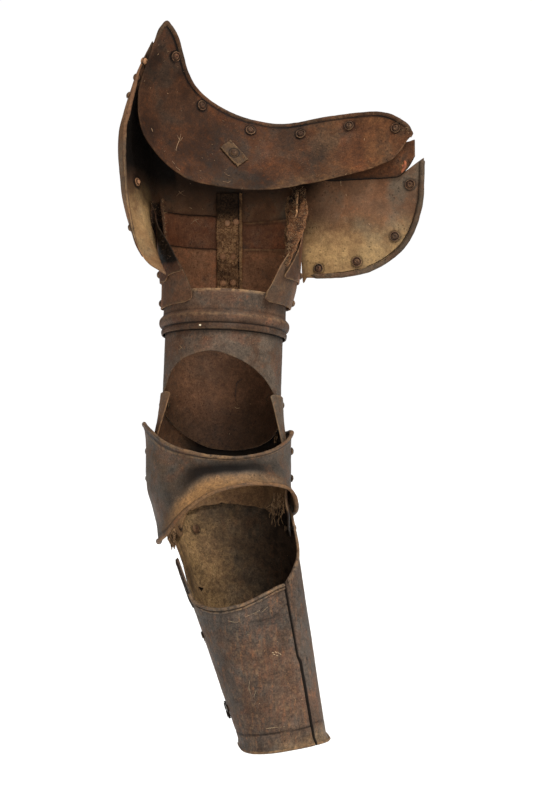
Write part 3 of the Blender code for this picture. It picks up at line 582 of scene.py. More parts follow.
def edge_distance(p, closed):
    """How far each grid point is from the plate's free edges, in mm."""
    dv = np.linalg.norm(np.diff(p, axis=1), axis=-1)
    run = np.concatenate([np.zeros((len(p), 1)), np.cumsum(dv, 1)], 1)
    low = np.minimum(run, run[:, -1:] - run)
    if not closed:
        du = np.linalg.norm(np.diff(p, axis=0), axis=-1)
        across = np.concatenate([np.zeros((1, p.shape[1])), np.cumsum(du, 0)], 0)
        low = np.minimum(low, np.minimum(across, across[-1:] - across))
    return low


def ring(nu, nv, closed):
    """The border of a grid as lists of (column, row), in the order of its faces."""
    if closed:
        i = np.arange(nu)
        return [(np.stack([i, 0 * i], 1), np.stack([i, 0 * i + 1], 1)), (np.stack([i[::-1], 0 * i + nv - 1], 1), np.stack([i[::-1], 0 * i + nv - 2], 1))]
    i, j = np.arange(nu), np.arange(nv)
    border = np.concatenate(
        [
            np.stack([i[:-1], 0 * i[:-1]], 1),
            np.stack([0 * j[:-1] + nu - 1, j[:-1]], 1),
            np.stack([i[:0:-1], 0 * i[:0:-1] + nv - 1], 1),
            np.stack([0 * j[:0:-1], j[:0:-1]], 1),
        ]
    )
    return [(border, np.clip(border, 1, [nu - 2, nv - 2]))]


def shell(build, outer, wall, ref, closed=False, masks=None, hammer=0.35, cell=38.0, seed=3, fine=0.06, calm=0.0, worn=0.3):
    """A plate: its outer face as a grid in mm, its wall, and soft hammering over both faces."""
    nu, nv = outer.shape[:2]
    n = grid_normals(outer, closed, np.asarray(ref, float))
    near = edge_distance(outer, closed)
    dent = hammer * rough(outer, cell, seed, 2) + fine * rough(outer, 4.5, seed + 9, 2)
    dent = dent * (1 - calm * np.exp(-near / 6))
    outer = outer + dent[..., None] * n
    thick = wall * (1 + 0.06 * rough(outer, 12, seed + 4, 2))
    inner = outer - thick[..., None] * n
    a = np.arange(nu * nv).reshape(nu, nv)
    b = a + nu * nv
    if closed:
        a2, b2 = np.roll(a, -1, 0), np.roll(b, -1, 0)
    else:
        a2, b2, a, b = a[1:], b[1:], a[:-1], b[:-1]
    quads = [
        np.stack([a[:, :-1], a2[:, :-1], a2[:, 1:], a[:, 1:]], -1).reshape(-1, 4),
        np.stack([b[:, :-1], b[:, 1:], b2[:, 1:], b2[:, :-1]], -1).reshape(-1, 4),
    ]
    points = [outer.reshape(-1, 3), inner.reshape(-1, 3)]
    start = 2 * nu * nv
    loops = ring(nu, nv, closed)
    mid_near, at_border = [], []
    for border, inside in loops:
        o, q = outer[tuple(border.T)], inner[tuple(border.T)]
        away = unit(o - outer[tuple(inside.T)])
        m = (o + q) / 2 + away * wall * 0.42
        ka = border[:, 0] * nv + border[:, 1]
        at_border.append(ka)
        kb = ka + nu * nv
        km = start + np.arange(len(border))
        r = lambda x: np.roll(x, -1)  # noqa: E731
        quads.append(np.stack([r(ka), ka, km, r(km)], -1))
        quads.append(np.stack([r(km), km, kb, r(kb)], -1))
        points.append(m)
        mid_near.append(np.zeros(len(border)))
        start += len(border)
    points = np.concatenate(points)
    first = quads[0][len(quads[0]) // 2]
    face = np.cross(points[first[1]] - points[first[0]], points[first[2]] - points[first[0]])
    if face.dot(n.reshape(-1, 3)[first[0]]) < 0:
        quads = [q[:, ::-1] for q in quads]
    near = np.concatenate([near.reshape(-1), near.reshape(-1), *mid_near])
    side = np.concatenate([np.zeros(nu * nv), np.ones(nu * nv), np.full(len(points) - 2 * nu * nv, 0.5)])
    values = {"wear": worn * np.exp(-near / 0.8) * (0.6 + 0.6 * rough(points, 9, 5, 2))}

    def on(values):
        """Values given on the grid, for every vertex of the plate."""
        flat = np.asarray(values, float).reshape(-1)
        return np.concatenate([flat, flat, flat[np.concatenate(at_border)]])

    if masks:
        for k, v in masks(points, side, near, on).items():
            values[k] = values.get(k, 0) + v
    build.add(points, quads, values)
    return outer, n


def tube(build, path, radius, sides=12, closed=False, masks=None, flat=1.0, lean=None, seed=5, wobble=0.07):
    """A rolled rim or wire along a path, with a hand-beaten thickness."""
    path = np.asarray(path, float)
    count = len(path)
    if closed:
        along = np.roll(path, -1, 0) - np.roll(path, 1, 0)
    else:
        along = np.gradient(path, axis=0)
    along = unit(along)
    if lean is None:
        lean = np.zeros(3)
        lean[np.argmin(np.abs(along).mean(0))] = 1.0
    lean = np.broadcast_to(lean, path.shape)
    x = unit(lean - (lean * along).sum(-1, keepdims=True) * along)
    y = np.cross(along, x)
    radius = np.broadcast_to(radius, (count,)) * (1 + wobble * rough(path, 7, seed, 2))
    a = np.arange(sides) * 2 * np.pi / sides
    points = path[:, None] + radius[:, None, None] * (np.cos(a)[None, :, None] * x[:, None] * flat + np.sin(a)[None, :, None] * y[:, None])
    points = points.reshape(-1, 3)
    k = np.arange(count * sides).reshape(count, sides)
    k2 = np.roll(k, -1, 1)
    if closed:
        n, n2 = np.roll(k, -1, 0), np.roll(k2, -1, 0)
        quads = [np.stack([k, k2, n2, n], -1).reshape(-1, 4)]
    else:
        quads = [np.stack([k[:-1], k2[:-1], k2[1:], k[1:]], -1).reshape(-1, 4)]
        tips = np.stack([path[0] - along[0] * radius[0] * 0.7, path[-1] + along[-1] * radius[-1] * 0.7])
        points = np.concatenate([points, tips])
        z = count * sides
        quads.append(np.stack([k2[0], k[0], 0 * k[0] + z], -1))
        quads.append(np.stack([k[-1], k2[-1], 0 * k[0] + z + 1], -1))
    values = masks(points) if callable(masks) else dict(masks or {})
    build.add(points, quads, values)


def framed(at, normal, twist=0.0):
    """Axes x, y, z of a placement whose z is the normal."""
    z = unit(np.asarray(normal, float))
    x = unit(np.cross(z, (0, 0, 1.0)) if abs(z[2]) < 0.9 else np.cross(z, (0, 1.0, 0)))
    y = np.cross(z, x)
    c, s = np.cos(twist), np.sin(twist)
    return np.asarray(at, float), c * x + s * y, c * y - s * x, z


def lathe(build, place, profile, steps=28, masks=None, beaten=0.06, seed=1, fine=6):
    """A turned piece, slightly out of round; profile (radius, height) from top to bottom."""
    at, x, y, z = place
    profile = np.asarray(profile, float)
    t = np.concatenate([np.linspace(i, i + 1, fine, endpoint=False) for i in range(len(profile) - 1)] + [[len(profile) - 1]])
    r = np.interp(t, range(len(profile)), profile[:, 0])
    h = np.interp(t, range(len(profile)), profile[:, 1])
    inner = slice(1, -1)
    for _ in range(2):  # rounds the profile's corners
        r[inner] = (r[:-2] + 2 * r[1:-1] + r[2:]) / 4
        h[inner] = (h[:-2] + 2 * h[1:-1] + h[2:]) / 4
    a = np.arange(steps) * 2 * np.pi / steps
    flat = np.stack([np.cos(a), np.sin(a)], -1)
    out = rough(np.concatenate([flat, np.full((steps, 1), seed * 3.1)], 1) * 1.2, 1.0, seed, 2)
    rr = r[:, None] * (1 + beaten * out[None])
    hh = h[:, None] + beaten * 1.6 * rough(np.stack([rr * flat[:, 0], rr * flat[:, 1], 0 * rr + seed * 5], -1), 1.9, seed + 2, 2) * (r[:, None] > 0.01)
    points = at + (rr * flat[:, 0])[..., None] * x + (rr * flat[:, 1])[..., None] * y + hh[..., None] * z
    count = len(r)
    body = points[1:-1].reshape(-1, 3)
    tips = np.stack([at + h[0] * z, at + h[-1] * z])
    k = np.arange((count - 2) * steps).reshape(count - 2, steps)
    k2 = np.roll(k, -1, 1)
    zed = (count - 2) * steps
    faces = [
        np.stack([k[:-1], k[1:], k2[1:], k2[:-1]], -1).reshape(-1, 4),
        np.stack([0 * k[0] + zed, k[0], k2[0]], -1),
        np.stack([k2[-1], k[-1], 0 * k[0] + zed + 1], -1),
    ]
    everything = np.concatenate([body, tips])
    build.add(everything, faces, masks(everything) if callable(masks) else masks)


# ---------------------------------------------------------------- materials
def srgb(r, g, b):
    """A colour given as it is seen, 0 to 255, as linear light."""
    c = np.array((r, g, b)) / 255
    return (*np.where(c <= 0.04045, c / 12.92, ((c + 0.055) / 1.055) ** 2.4), 1.0)


class Graph:
    """A material's nodes, with short names for the ones used again and again."""

    def __init__(self, name):
        self.material = bpy.data.materials.new(name)
        self.material.use_nodes = True
        self.tree = self.material.node_tree
        self.tree.nodes.clear()
        self.out = self.tree.nodes.new("ShaderNodeOutputMaterial")
        self.shader = self.tree.nodes.new("ShaderNodeBsdfPrincipled")
        self.tree.links.new(self.shader.outputs[0], self.out.inputs[0])
        self.place = self.tree.nodes.new("ShaderNodeTexCoord").outputs["Object"]

    def put(self, socket, value):
        if isinstance(value, bpy.types.NodeSocket):
            self.tree.links.new(value, socket)
        else:
            socket.default_value = value

    def node(self, kind, **sockets):
        made = self.tree.nodes.new(kind)
        for k, v in sockets.items():
            self.put(made.inputs[k], v)
        return made

    def moved(self, scale=(1, 1, 1), at=(0, 0, 0), turn=(0, 0, 0)):
        return self.node("ShaderNodeMapping", Vector=self.place, Scale=scale, Location=at, Rotation=turn).outputs[0]

    def noise(self, scale, detail=4, rough=0.6, warp=0.0, at=None):
        return self.node("ShaderNodeTexNoise", Vector=at or self.place, Scale=scale, Detail=detail, Roughness=rough, Distortion=warp).outputs["Fac"]

    def cells(self, scale, at=None, feature="F1"):
        made = self.node("ShaderNodeTexVoronoi", Vector=at or self.place, Scale=scale)
        made.feature = feature
        return made.outputs["Distance"]

    def mask(self, name):
        made = self.tree.nodes.new("ShaderNodeAttribute")
        made.attribute_name = name
        return made.outputs["Fac"]

    def span(self, value, lo, hi, to_lo=0.0, to_hi=1.0):
        made = self.node("ShaderNodeMapRange", Value=value)
        made.interpolation_type = "SMOOTHSTEP"
        for k, v in (("From Min", lo), ("From Max", hi), ("To Min", to_lo), ("To Max", to_hi)):
            self.put(made.inputs[k], v)
        return made.outputs[0]

    def math(self, operation, a, b=0.0, clamp=False):
        made = self.tree.nodes.new("ShaderNodeMath")
        made.operation, made.use_clamp = operation, clamp
        self.put(made.inputs[0], a)
        self.put(made.inputs[1], b)
        return made.outputs[0]

    def times(self, *values):
        out = values[0]
        for v in values[1:]:
            out = self.math("MULTIPLY", out, v)
        return out

    def plus(self, *values, clamp=True):
        out = values[0]
        for v in values[1:]:
            out = self.math("ADD", out, v, clamp)
        return out

    def mix(self, factor, a, b, blend="MIX"):
        made = self.tree.nodes.new("ShaderNodeMix")
        made.data_type, made.blend_type = "RGBA", blend
        self.put(made.inputs[0], factor)
        self.put(made.inputs[6], a)
        self.put(made.inputs[7], b)
        return made.outputs[2]

    def shade(self, colour, value):
        """Colour times a grey value."""
        grey = self.tree.nodes.new("ShaderNodeCombineColor")
        for k in range(3):
            self.put(grey.inputs[k], value)
        return self.mix(1.0, colour, grey.outputs[0], "MULTIPLY")

    def bump(self, height, strength=0.6, distance=0.0008):
        made = self.node("ShaderNodeBump", Height=height, Strength=strength, Distance=distance)
        self.tree.links.new(made.outputs[0], self.shader.inputs["Normal"])


# The last of these is the black of rust pits and soot, and also of painted shade.
OCHRE, ORANGE, TAN, SHADE_BLACK_AND_SOOT = srgb(143, 112, 67), srgb(138, 76, 40), srgb(142, 112, 80), srgb(13, 8, 5)


def rusted(name, brown, grey, red, ochre=OCHRE, grey_at=(0.46, 0.62), red_at=(0.5, 0.66), speck=0.35, streaks=0.0, pits=0.5, stain=0.5, base_rough=0.62, metal=0.05, relief=1.0, shift=0.0, along=(1, 1, 1), turn=(0, 0, 0), grit=1.0, blotch=0.14, orange=ORANGE):
    """Old rusted iron: patches of brown, blue-grey and red rust, specks, pits and worn edges, with painted highlights
    and painted shade from the masks.
    """
    g = Graph(name)
    here = g.moved(at=(shift, 0.7 * shift, -shift))
    big = g.noise(15, 4, 0.6, 0.4, here)
    mid = g.noise(52, 6, 0.62, 0.3, here)
    other = g.noise(34, 6, 0.6, 0.6, g.moved(at=(3.1 + shift, 1.7, 5.2)))
    small = g.noise(250, 5, 0.66, 0.0, here)
    grain = g.noise(1150, 3, 0.6, 0.0, here)
    run = g.noise(60, 5, 0.6, 0.2, g.moved(scale=along, at=(1.3, shift, 0.4), turn=turn))
    greyness = g.plus(g.span(g.plus(g.times(big, 0.62), g.times(mid, 0.38), clamp=False), *grey_at), g.times(g.mask("grey"), g.span(mid, 0.3, 0.6, 0.45, 1.0)))
    colour = g.mix(greyness, brown, grey)
    redness = g.plus(g.times(g.span(other, *red_at), 0.55), g.times(g.mask("red"), g.span(small, 0.35, 0.6, 0.3, 1.0)))
    colour = g.mix(redness, colour, red)
    colour = g.mix(g.times(g.mask("ochre"), g.span(mid, 0.28, 0.6, 0.55, 1.0), g.span(small, 0.3, 0.6, 0.7, 1.0)), colour, ochre)
    colour = g.mix(g.times(g.span(other, 0.62, 0.42), stain, g.span(mid, 0.45, 0.65)), colour, g.shade(colour, 0.35))
    fleck = g.noise(620, 4, 0.7, 0.3, here)
    colour = g.shade(colour, g.span(small, 0.3, 0.7, 1 - 0.22 * grit, 1 + 0.22 * grit))
    colour = g.shade(colour, g.span(fleck, 0.34, 0.66, 1 - 0.2 * grit, 1 + 0.2 * grit))
    colour = g.shade(colour, g.span(mid, 0.34, 0.64, 0.8, 1.2))
    colour = g.shade(colour, g.span(grain, 0.34, 0.66, 1 - 0.16 * grit, 1 + 0.16 * grit))
    colour = g.shade(colour, g.span(g.noise(24, 3, 0.55, 0.5, g.moved(at=(1.9, shift, 3.3))), 0.36, 0.64, 1 - blotch, 1 + blotch))
    rusty = g.times(g.span(small, 0.55, 0.68), g.span(run, 0.48, 0.62), speck)
    if streaks:
        rusty = g.plus(rusty, g.times(g.span(run, 0.52, 0.66), g.span(grain, 0.4, 0.62), streaks))
    rusty = g.times(rusty, g.math("SUBTRACT", 1.0, g.mask("ochre"), True))
    colour = g.mix(rusty, colour, orange)
    pit = g.times(g.span(g.cells(300, here), 0.34, 0.12), g.span(mid, 0.46, 0.62), pits)
    colour = g.mix(pit, colour, SHADE_BLACK_AND_SOOT)
    # Tan on worn edges, and painted highlights where the mask carries them.
    colour = g.mix(g.times(g.mask("wear"), g.span(small, 0.36, 0.58), 0.75), colour, TAN)
    colour = g.mix(g.times(g.span(g.noise(900, 2, 0.5, 0.0, g.moved(at=(0.4, shift, 2.0))), 0.67, 0.71), g.span(other, 0.4, 0.6), 0.6), colour, TAN)
    # Near black for dirt and for painted shade where the mask carries it.
    colour = g.mix(g.mask("dark"), colour, SHADE_BLACK_AND_SOOT)
    g.put(g.shader.inputs["Base Color"], colour)
    g.put(g.shader.inputs["Roughness"], g.math("SUBTRACT", g.span(small, 0.3, 0.7, base_rough - 0.08, base_rough + 0.14), g.times(greyness, 0.1)))
    g.shader.inputs["Metallic"].default_value = metal
    g.shader.inputs["Specular IOR Level"].default_value = 0.1
    height = g.plus(g.times(small, 0.5), g.times(fleck, 0.35), g.times(grain, 0.22), g.times(mid, 0.9), g.times(pit, -0.7), clamp=False)
    g.bump(height, 0.75 * relief, 0.0009)
    return g.material


def suede(name, pale, deep, edge):
    """Old leather with its nap torn up: pale fibres over a deeper ground."""
    g = Graph(name)
    wide = g.noise(70, 4, 0.6, 0.5)
    curl = g.noise(300, 6, 0.75, 1.7)
    fine = g.noise(1300, 3, 0.7, 0.8, g.moved(scale=(1, 1, 0.45)))
    spots = g.cells(420)
    pale_at = g.plus(g.times(g.span(curl, 0.46, 0.6), g.span(wide, 0.36, 0.6, 0.35, 1.0)), g.times(g.mask("wear"), g.span(curl, 0.36, 0.52), 0.7))
    colour = g.mix(pale_at, deep, pale)
    colour = g.mix(g.times(g.mask("ochre"), 0.8), colour, edge)
    colour = g.shade(colour, g.span(fine, 0.25, 0.75, 0.6, 1.4))
    colour = g.mix(g.times(g.span(spots, 0.28, 0.1), 0.5), colour, SHADE_BLACK_AND_SOOT)
    # Near black for dirt and for painted shade where the mask carries it.
    colour = g.mix(g.mask("dark"), colour, SHADE_BLACK_AND_SOOT)
    g.put(g.shader.inputs["Base Color"], colour)
    g.put(g.shader.inputs["Roughness"], g.span(curl, 0.3, 0.7, 0.95, 0.8))
    g.shader.inputs["Specular IOR Level"].default_value = 0.15
    g.bump(g.plus(g.times(curl, 1.0), g.times(fine, 0.5), clamp=False), 0.9, 0.0012)
    return g.material


def plain_fibre(name, pale, deep):
    """Hair, straw and dust."""
    g = Graph(name)
    g.put(g.shader.inputs["Base Color"], g.mix(g.span(g.noise(300, 3), 0.35, 0.65), deep, pale))
    g.put(g.shader.inputs["Roughness"], g.span(g.noise(900, 2), 0.3, 0.7, 0.75, 0.95))
    return g.material


BROWN_INNER = rusted("brown_iron_inner", srgb(77, 47, 28), srgb(66, 48, 35), srgb(91, 52, 30), ochre=srgb(132, 96, 58), speck=0.25, stain=0.55, base_rough=0.7, metal=0.0, shift=0.2, blotch=0.24)
WING = rusted("brown_iron_wing", srgb(98, 69, 49), srgb(88, 74, 60), srgb(100, 66, 44), ochre=srgb(150, 121, 80), speck=0.2, stain=0.4, base_rough=0.7, metal=0.0, shift=0.9, grit=0.55)
LAMES = rusted("brown_iron_lames", srgb(108, 71, 50), srgb(94, 74, 60), srgb(118, 71, 47), grey_at=(0.52, 0.68), speck=0.3, stain=0.5, base_rough=0.68, metal=0.0, shift=1.7)
# A lighter copy of the lames' iron for the lower lame, as painted light.
LAMES_LIT = rusted("brown_iron_lames_low", srgb(126, 88, 63), srgb(108, 88, 71), srgb(132, 84, 56), grey_at=(0.52, 0.68), speck=0.3, stain=0.5, base_rough=0.68, metal=0.0, shift=2.0)
COLLAR_IRON = rusted("rusted_iron_collar", srgb(77, 56, 42), srgb(69, 58, 49), srgb(86, 55, 38), grey_at=(0.42, 0.58), speck=0.2, stain=0.35, shift=2.3)
CANNON_IRON = rusted("rusted_iron_cannon", srgb(83, 59, 43), srgb(75, 64, 54), srgb(90, 58, 41), ochre=srgb(88, 60, 42), grey_at=(0.44, 0.6), red_at=(0.54, 0.72), speck=0.22, stain=0.4, shift=3.1)
COUTER_IRON = rusted("rusted_iron_couter", srgb(80, 64, 50), srgb(73, 65, 57), srgb(94, 63, 44), grey_at=(0.42, 0.58), speck=0.35, stain=0.5, ochre=srgb(146, 108, 68), shift=4.2, grit=0.85)
FOREARM_IRON = rusted("rusted_iron_forearm", srgb(78, 61, 49), srgb(70, 62, 55), srgb(88, 60, 45), grey_at=(0.44, 0.58), red_at=(0.54, 0.7), speck=0.4, streaks=0.4, stain=0.45, ochre=srgb(138, 109, 72), along=(4.0, 4.0, 0.9), turn=(0, 0.24, 0), shift=5.4, grit=1.25, orange=srgb(130, 84, 52))
RIVET_IRON = rusted("rivet_iron", srgb(72, 51, 38), srgb(60, 50, 42), srgb(78, 50, 34), speck=0.2, stain=0.3, base_rough=0.6, relief=0.8, shift=6.1)
RIVET_DARK = rusted("rivet_iron_dark", srgb(38, 29, 23), srgb(34, 29, 25), srgb(46, 30, 21), speck=0.2, stain=0.3, base_rough=0.6, relief=0.8, shift=6.6)
RIVET_PALE = rusted("rivet_iron_pale", srgb(160, 116, 84), srgb(146, 114, 90), srgb(160, 104, 72), speck=0.2, stain=0.2, base_rough=0.6, relief=0.5, shift=7.7)
WASHER_IRON = rusted("rusted_iron_washer", srgb(64, 44, 31), srgb(58, 45, 35), srgb(66, 43, 29), speck=0.2, stain=0.4, base_rough=0.65, shift=8.3)
ELBOW_IRON = rusted("rusted_iron_elbow", srgb(88, 64, 46), srgb(78, 66, 54), srgb(92, 60, 42), ochre=srgb(118, 89, 58), grey_at=(0.44, 0.6), red_at=(0.54, 0.72), speck=0.22, stain=0.4, shift=3.6)
LEATHER_LOOK = suede("leather_suede", srgb(176, 132, 92), srgb(80, 54, 36), srgb(168, 126, 84))
LEATHER_TORN = suede("leather_torn", srgb(124, 84, 54), srgb(50, 31, 20), srgb(108, 70, 43))
# A darker copy of the suede for the left leathers, as painted shade.
LEATHER_SHADED = suede("leather_dark", srgb(84, 58, 38), srgb(20, 13, 9), srgb(100, 70, 45))
RAG_LOOK = suede("rag_cloth", srgb(134, 104, 74), srgb(58, 41, 29), srgb(140, 112, 82))
FIBRE = plain_fibre("fibre_tan", srgb(158, 126, 90), srgb(96, 70, 46))
STRAW = plain_fibre("fibre_straw", srgb(180, 158, 124), srgb(130, 104, 74))
SCRATCH = plain_fibre("scratch", srgb(150, 120, 88), srgb(104, 76, 52))


# ---------------------------------------------------------------- shapes of the plates
def grid(us, vs):
    return np.meshgrid(np.asarray(us, float), np.asarray(vs, float), indexing="ij")


CREST_RIM = np.array([r[:3] for r in CREST], float)
CREST_LOW = np.array([r[3:] for r in CREST], float)


def crest_at(u, t, lift=0.0):
    """Outer face of the crest plate and its normal, which points away from the arm."""
    u, t = np.broadcast_arrays(np.asarray(u, float), np.asarray(t, float))

    def flat(u):
        rim, low = through(CREST_RIM, u), through(CREST_LOW, u)
        return rim + (low - rim) * t[..., None]

    squeeze = 1 - 0.8 * np.maximum(0, 1 - u / 0.42) ** 2.2
    t = 0.22 + (t - 0.22) * squeeze
    mid = np.clip(u, 0.02, len(CREST) - 1.02)
    along = flat(mid + 0.02) - flat(mid - 0.02)
    down = through(CREST_LOW, mid) - through(CREST_RIM, mid)
    n = unit(np.cross(along, down))
    n = np.where(n[..., 1:2] < 0, -n, n)
    wide = np.linalg.norm(down, axis=-1)
    crown = CREST_CROWN * np.sin(np.pi * np.clip(t, 0, 1)) * np.minimum(1, wide / 40)
    return flat(u) + (crown + lift)[..., None] * n, n


def crest_width(u):
    return np.linalg.norm(through(CREST_LOW, u) - through(CREST_RIM, u), axis=-1)


def main_at(around, z):
    """Outer face of the main plate."""
    around, z = np.broadcast_arrays(np.asarray(around, float), np.asarray(z, float))
    stops = np.stack([np.stack([column(MAIN, 0, 1 + 2 * k, z), column(MAIN, 0, 2 + 2 * k, z), z], -1) for k in range(8)])
    p = through(stops, around)
    roll = smooth(*zip(*WING_ROLL), z) * (around < 0.75)
    p[..., 0] += roll * np.maximum(0, 1 - around / 0.34) ** 2 - 0.55 * roll * np.sin(np.pi * np.clip(around / 0.75, 0, 1))
    return p


def main_normal(around, z):
    a = main_at(np.minimum(around + 0.02, 7), z) - main_at(np.maximum(around - 0.02, 0), z)
    b = main_at(around, z - 1) - main_at(around, z + 1)
    return -unit(np.cross(b, a))


def ring_at(mid_x, mid_y, z, angle, side, back):
    """Point of a level section: an ellipse's half at the back, a circle's at the front."""
    depth = np.where(cos_d(angle) > 0, side, back)
    return np.stack([mid_x + side * sin_d(angle), mid_y - depth * cos_d(angle), z], -1)


def lame_at(table, angle, z):
    angle, z = np.broadcast_arrays(np.asarray(angle, float), np.asarray(z, float))
    return ring_at(*(column(table, 0, k, z) for k in (1, 2)), z, angle, column(table, 0, 3, z), column(table, 0, 4, z))


def upper_lame_edges(angle):
    left = angle > 180
    a = np.minimum(np.abs(angle), np.abs(360 - angle))
    reach = np.maximum(0.0, (94 - a) / 42)
    top = -48.0 - np.where(left, 0, 5) * np.minimum(1, np.abs(180 - angle) / 60) - 9 * reach
    cut = np.where(
        left,
        column(((40, -110), (46, -99), (52, -89), (62, -78), (75, -67), (88, -52), (96, -48)), 0, 1, a),
        column(((52, -114), (62, -102), (72, -90), (82, -78), (90, -64), (96, -54)), 0, 1, a),
    )
    low = np.where(left, column(((40, -111.5), (57, -114.2), (64, -119), (80, -119)), 0, 1, a), -119.0 + 2 * reach)
    return np.minimum(top, cut), low


def lower_lame_edges(angle):
    left = angle > 180
    a = np.minimum(np.abs(angle), np.abs(360 - angle))
    top = -78.5 - np.where(left, 0, 5) * np.minimum(1, np.abs(180 - angle) / 60)
    out = []
    for tip in (36, 30):
        cut = column(((tip, -130), (tip + 14, -104), (tip + 30, -88), (tip + 44, -80)), 0, 1, a)
        low = column(((tip, -136.5), (tip + 6, -139), (tip + 22, -140.5), (tip + 44, -143)), 0, 1, a)
        out.append((np.minimum(top, cut), low))
    return np.where(left, out[1][0], out[0][0]), np.where(left, out[1][1], out[0][1])


def folded(angle):
    return np.minimum(np.abs(angle), np.abs(360 - angle))


def signed(angle):
    return np.where(angle <= 180, angle, angle - 360)


def elbow_upper_at(angle, s):
    side = column(ELBOW_UPPER, 0, 1, s)
    return upper_arm.at(angle, s, side, side + 3.6, column(ELBOW_UPPER, 0, 2, s))


def elbow_lower_at(angle, z):
    return ring_at(column(ELBOW_LOWER, 0, 1, z), column(ELBOW_LOWER, 0, 2, z), z, angle, column(ELBOW_LOWER, 0, 3, z), column(ELBOW_LOWER, 0, 4, z))


def couter_at(angle, t):
    """Outer face of the couter; t runs from its upper rim (0) to its lower rim (1)."""
    angle, t = np.broadcast_arrays(np.asarray(angle, float), np.asarray(t, float))
    top = column(COUTER_RIMS, 0, 1, signed(angle), 360)
    low = column(COUTER_RIMS, 0, 2, signed(angle), 360)
    s = top + (low - top) * t
    c = cos_d(angle)
    flare_top = 4.6 * np.maximum(0, 1 - t / 0.24) ** 2
    flare_low = 5.2 * np.maximum(0, (t - 0.7) / 0.3) ** 2
    waist = np.maximum(0, c) * (5.5 * np.maximum(0, (t - 0.42) / 0.58) ** 1.6 + 1.5 * np.maximum(0, 1 - t / 0.35) - 2.0)
    dome = np.maximum(0, -c) ** 1.5 * 7 * np.sin(np.pi * np.clip((t - 0.05) / 0.9, 0, 1))
    left = np.maximum(0.0, -sin_d(angle))
    tuck = left * (COUTER_SIDE + flare_low - column(COUTER_LEFT, 0, 1, s))
    side = COUTER_SIDE + flare_top * np.where(left > 0, 0.55, 0.15) + flare_low - np.where(s < -20, tuck, 0)
    back = COUTER_BACK - 9.0 * np.maximum(0, s / 28) - 5 * np.maximum(0, (-s - 35) / 30) + flare_low * 0.6
    front = COUTER_FRONT + flare_top + flare_low + waist
    return elbow.at(angle, s, side, front, back) + dome[..., None] * elbow.outward(angle)


def forearm_radius(s):
    return FOREARM_RADIUS + s * (FOREARM_RADIUS - WRIST_RADIUS) / FOREARM_LENGTH


def shell_at(angle, s):
    """Outer face of the back shell."""
    r = forearm_radius(np.minimum(s, 20)) + 0.9
    tuck = np.maximum(0.0, -sin_d(angle)) ** 2 * column(SHELL_TUCK, 0, 1, s)
    mouth = 2.6 * np.maximum(0.0, (s - 10) / 38) ** 1.5
    under = UNDERLAP * np.clip((46.5 - angle) / 3.4, 0, 1)
    return forearm.at(angle, s, r - tuck - under + mouth, None, r + mouth)


def wrist(angle):
    return column(WRIST_EDGE, 0, 1, signed(angle), 360)


def ragged(us_mm, depth, seed, cell=14, nicks=()):
    """How far a trimmed edge wanders in from its line, in mm, at each place along it."""
    out = depth * 0.5 * (wander(us_mm, cell, seed, 4) + 0.4)
    for at, width, deep in nicks:
        out = out + deep * hump(at, width, us_mm)
    return out


# ---------------------------------------------------------------- crest plate
us, ts = grid(np.linspace(0, 10, 250), np.concatenate([np.linspace(0, 0.16, 12), np.linspace(0.18, 1, 44)]))
wide = np.maximum(crest_width(us), 4.0)
low_edge = 1 - ragged(us * 30, 0.9, 4, 20, ((120, 3, 0.6), (196, 2, 0.9), (236, 4, 0.7))) / wide
drop = ts * wide
dip = 1.9 * (1 - step(0.5, 5.0, drop)) * np.minimum(1, wide / 20)
crest_outer, _ = crest_at(us, ts * low_edge, dip)


def rings(p, spots, radius=5.6, width=0.8):
    """1 in a ring of painted shadow round each rivet's washer."""
    out = 0.0
    for spot in spots:
        out = out + hump(radius, width, np.linalg.norm(p - spot, axis=-1))
    return np.clip(out, 0, 1)


def crest_masks(p, side, near, on):
    inner = side > 0.4
    spots = [crest_at(np.float64(station), np.float64(across))[0] for _, station, across in CREST_RIVETS]
    low = on(step(0.8, 0.98, ts) * step(4.0, 5.4, us) * (1 - step(6.6, 8.2, us)))
    groove_shade = on(hump(4.7, 0.9, drop) * step(8, 14, wide))
    return {
        # Painted shade: shadow rings round the rivets and a line of shade in the crease under the rim. The plate is
        # also darker towards its left end and at its far tip, and has random blotches of dirt.
        "dark": inner * 0.75 * rings(p, spots, 5.2, 0.8) + groove_shade * inner * 0.95 + inner * 0.36 * (1 - step(4.6, 8.4, on(us))) + 0.24 * inner * step(0.0, 0.5, rough(p, 26, 8, 3)) + 0.1 * inner * (1 - step(-50, -20, p[:, 0])) + 0.25 * inner * on(step(8.4, 9.4, us)),
        "ochre": 0.14 * inner * step(50, 110, p[:, 0]) * step(-0.4, 0.4, rough(p, 22, 61, 3)) + 0.3 * low * step(-0.3, 0.5, rough(p, 16, 31, 3)) * inner,
        "grey": 0.4 * step(0.0, 0.5, rough(p, 46, 77, 2)),
        "red": 0.12 * on(step(6.6, 8.6, us)) + 0.55 * on(1 - step(0.4, 1.6, us)) * step(-0.5, 0.3, rough(p, 14, 52, 2)),
    }


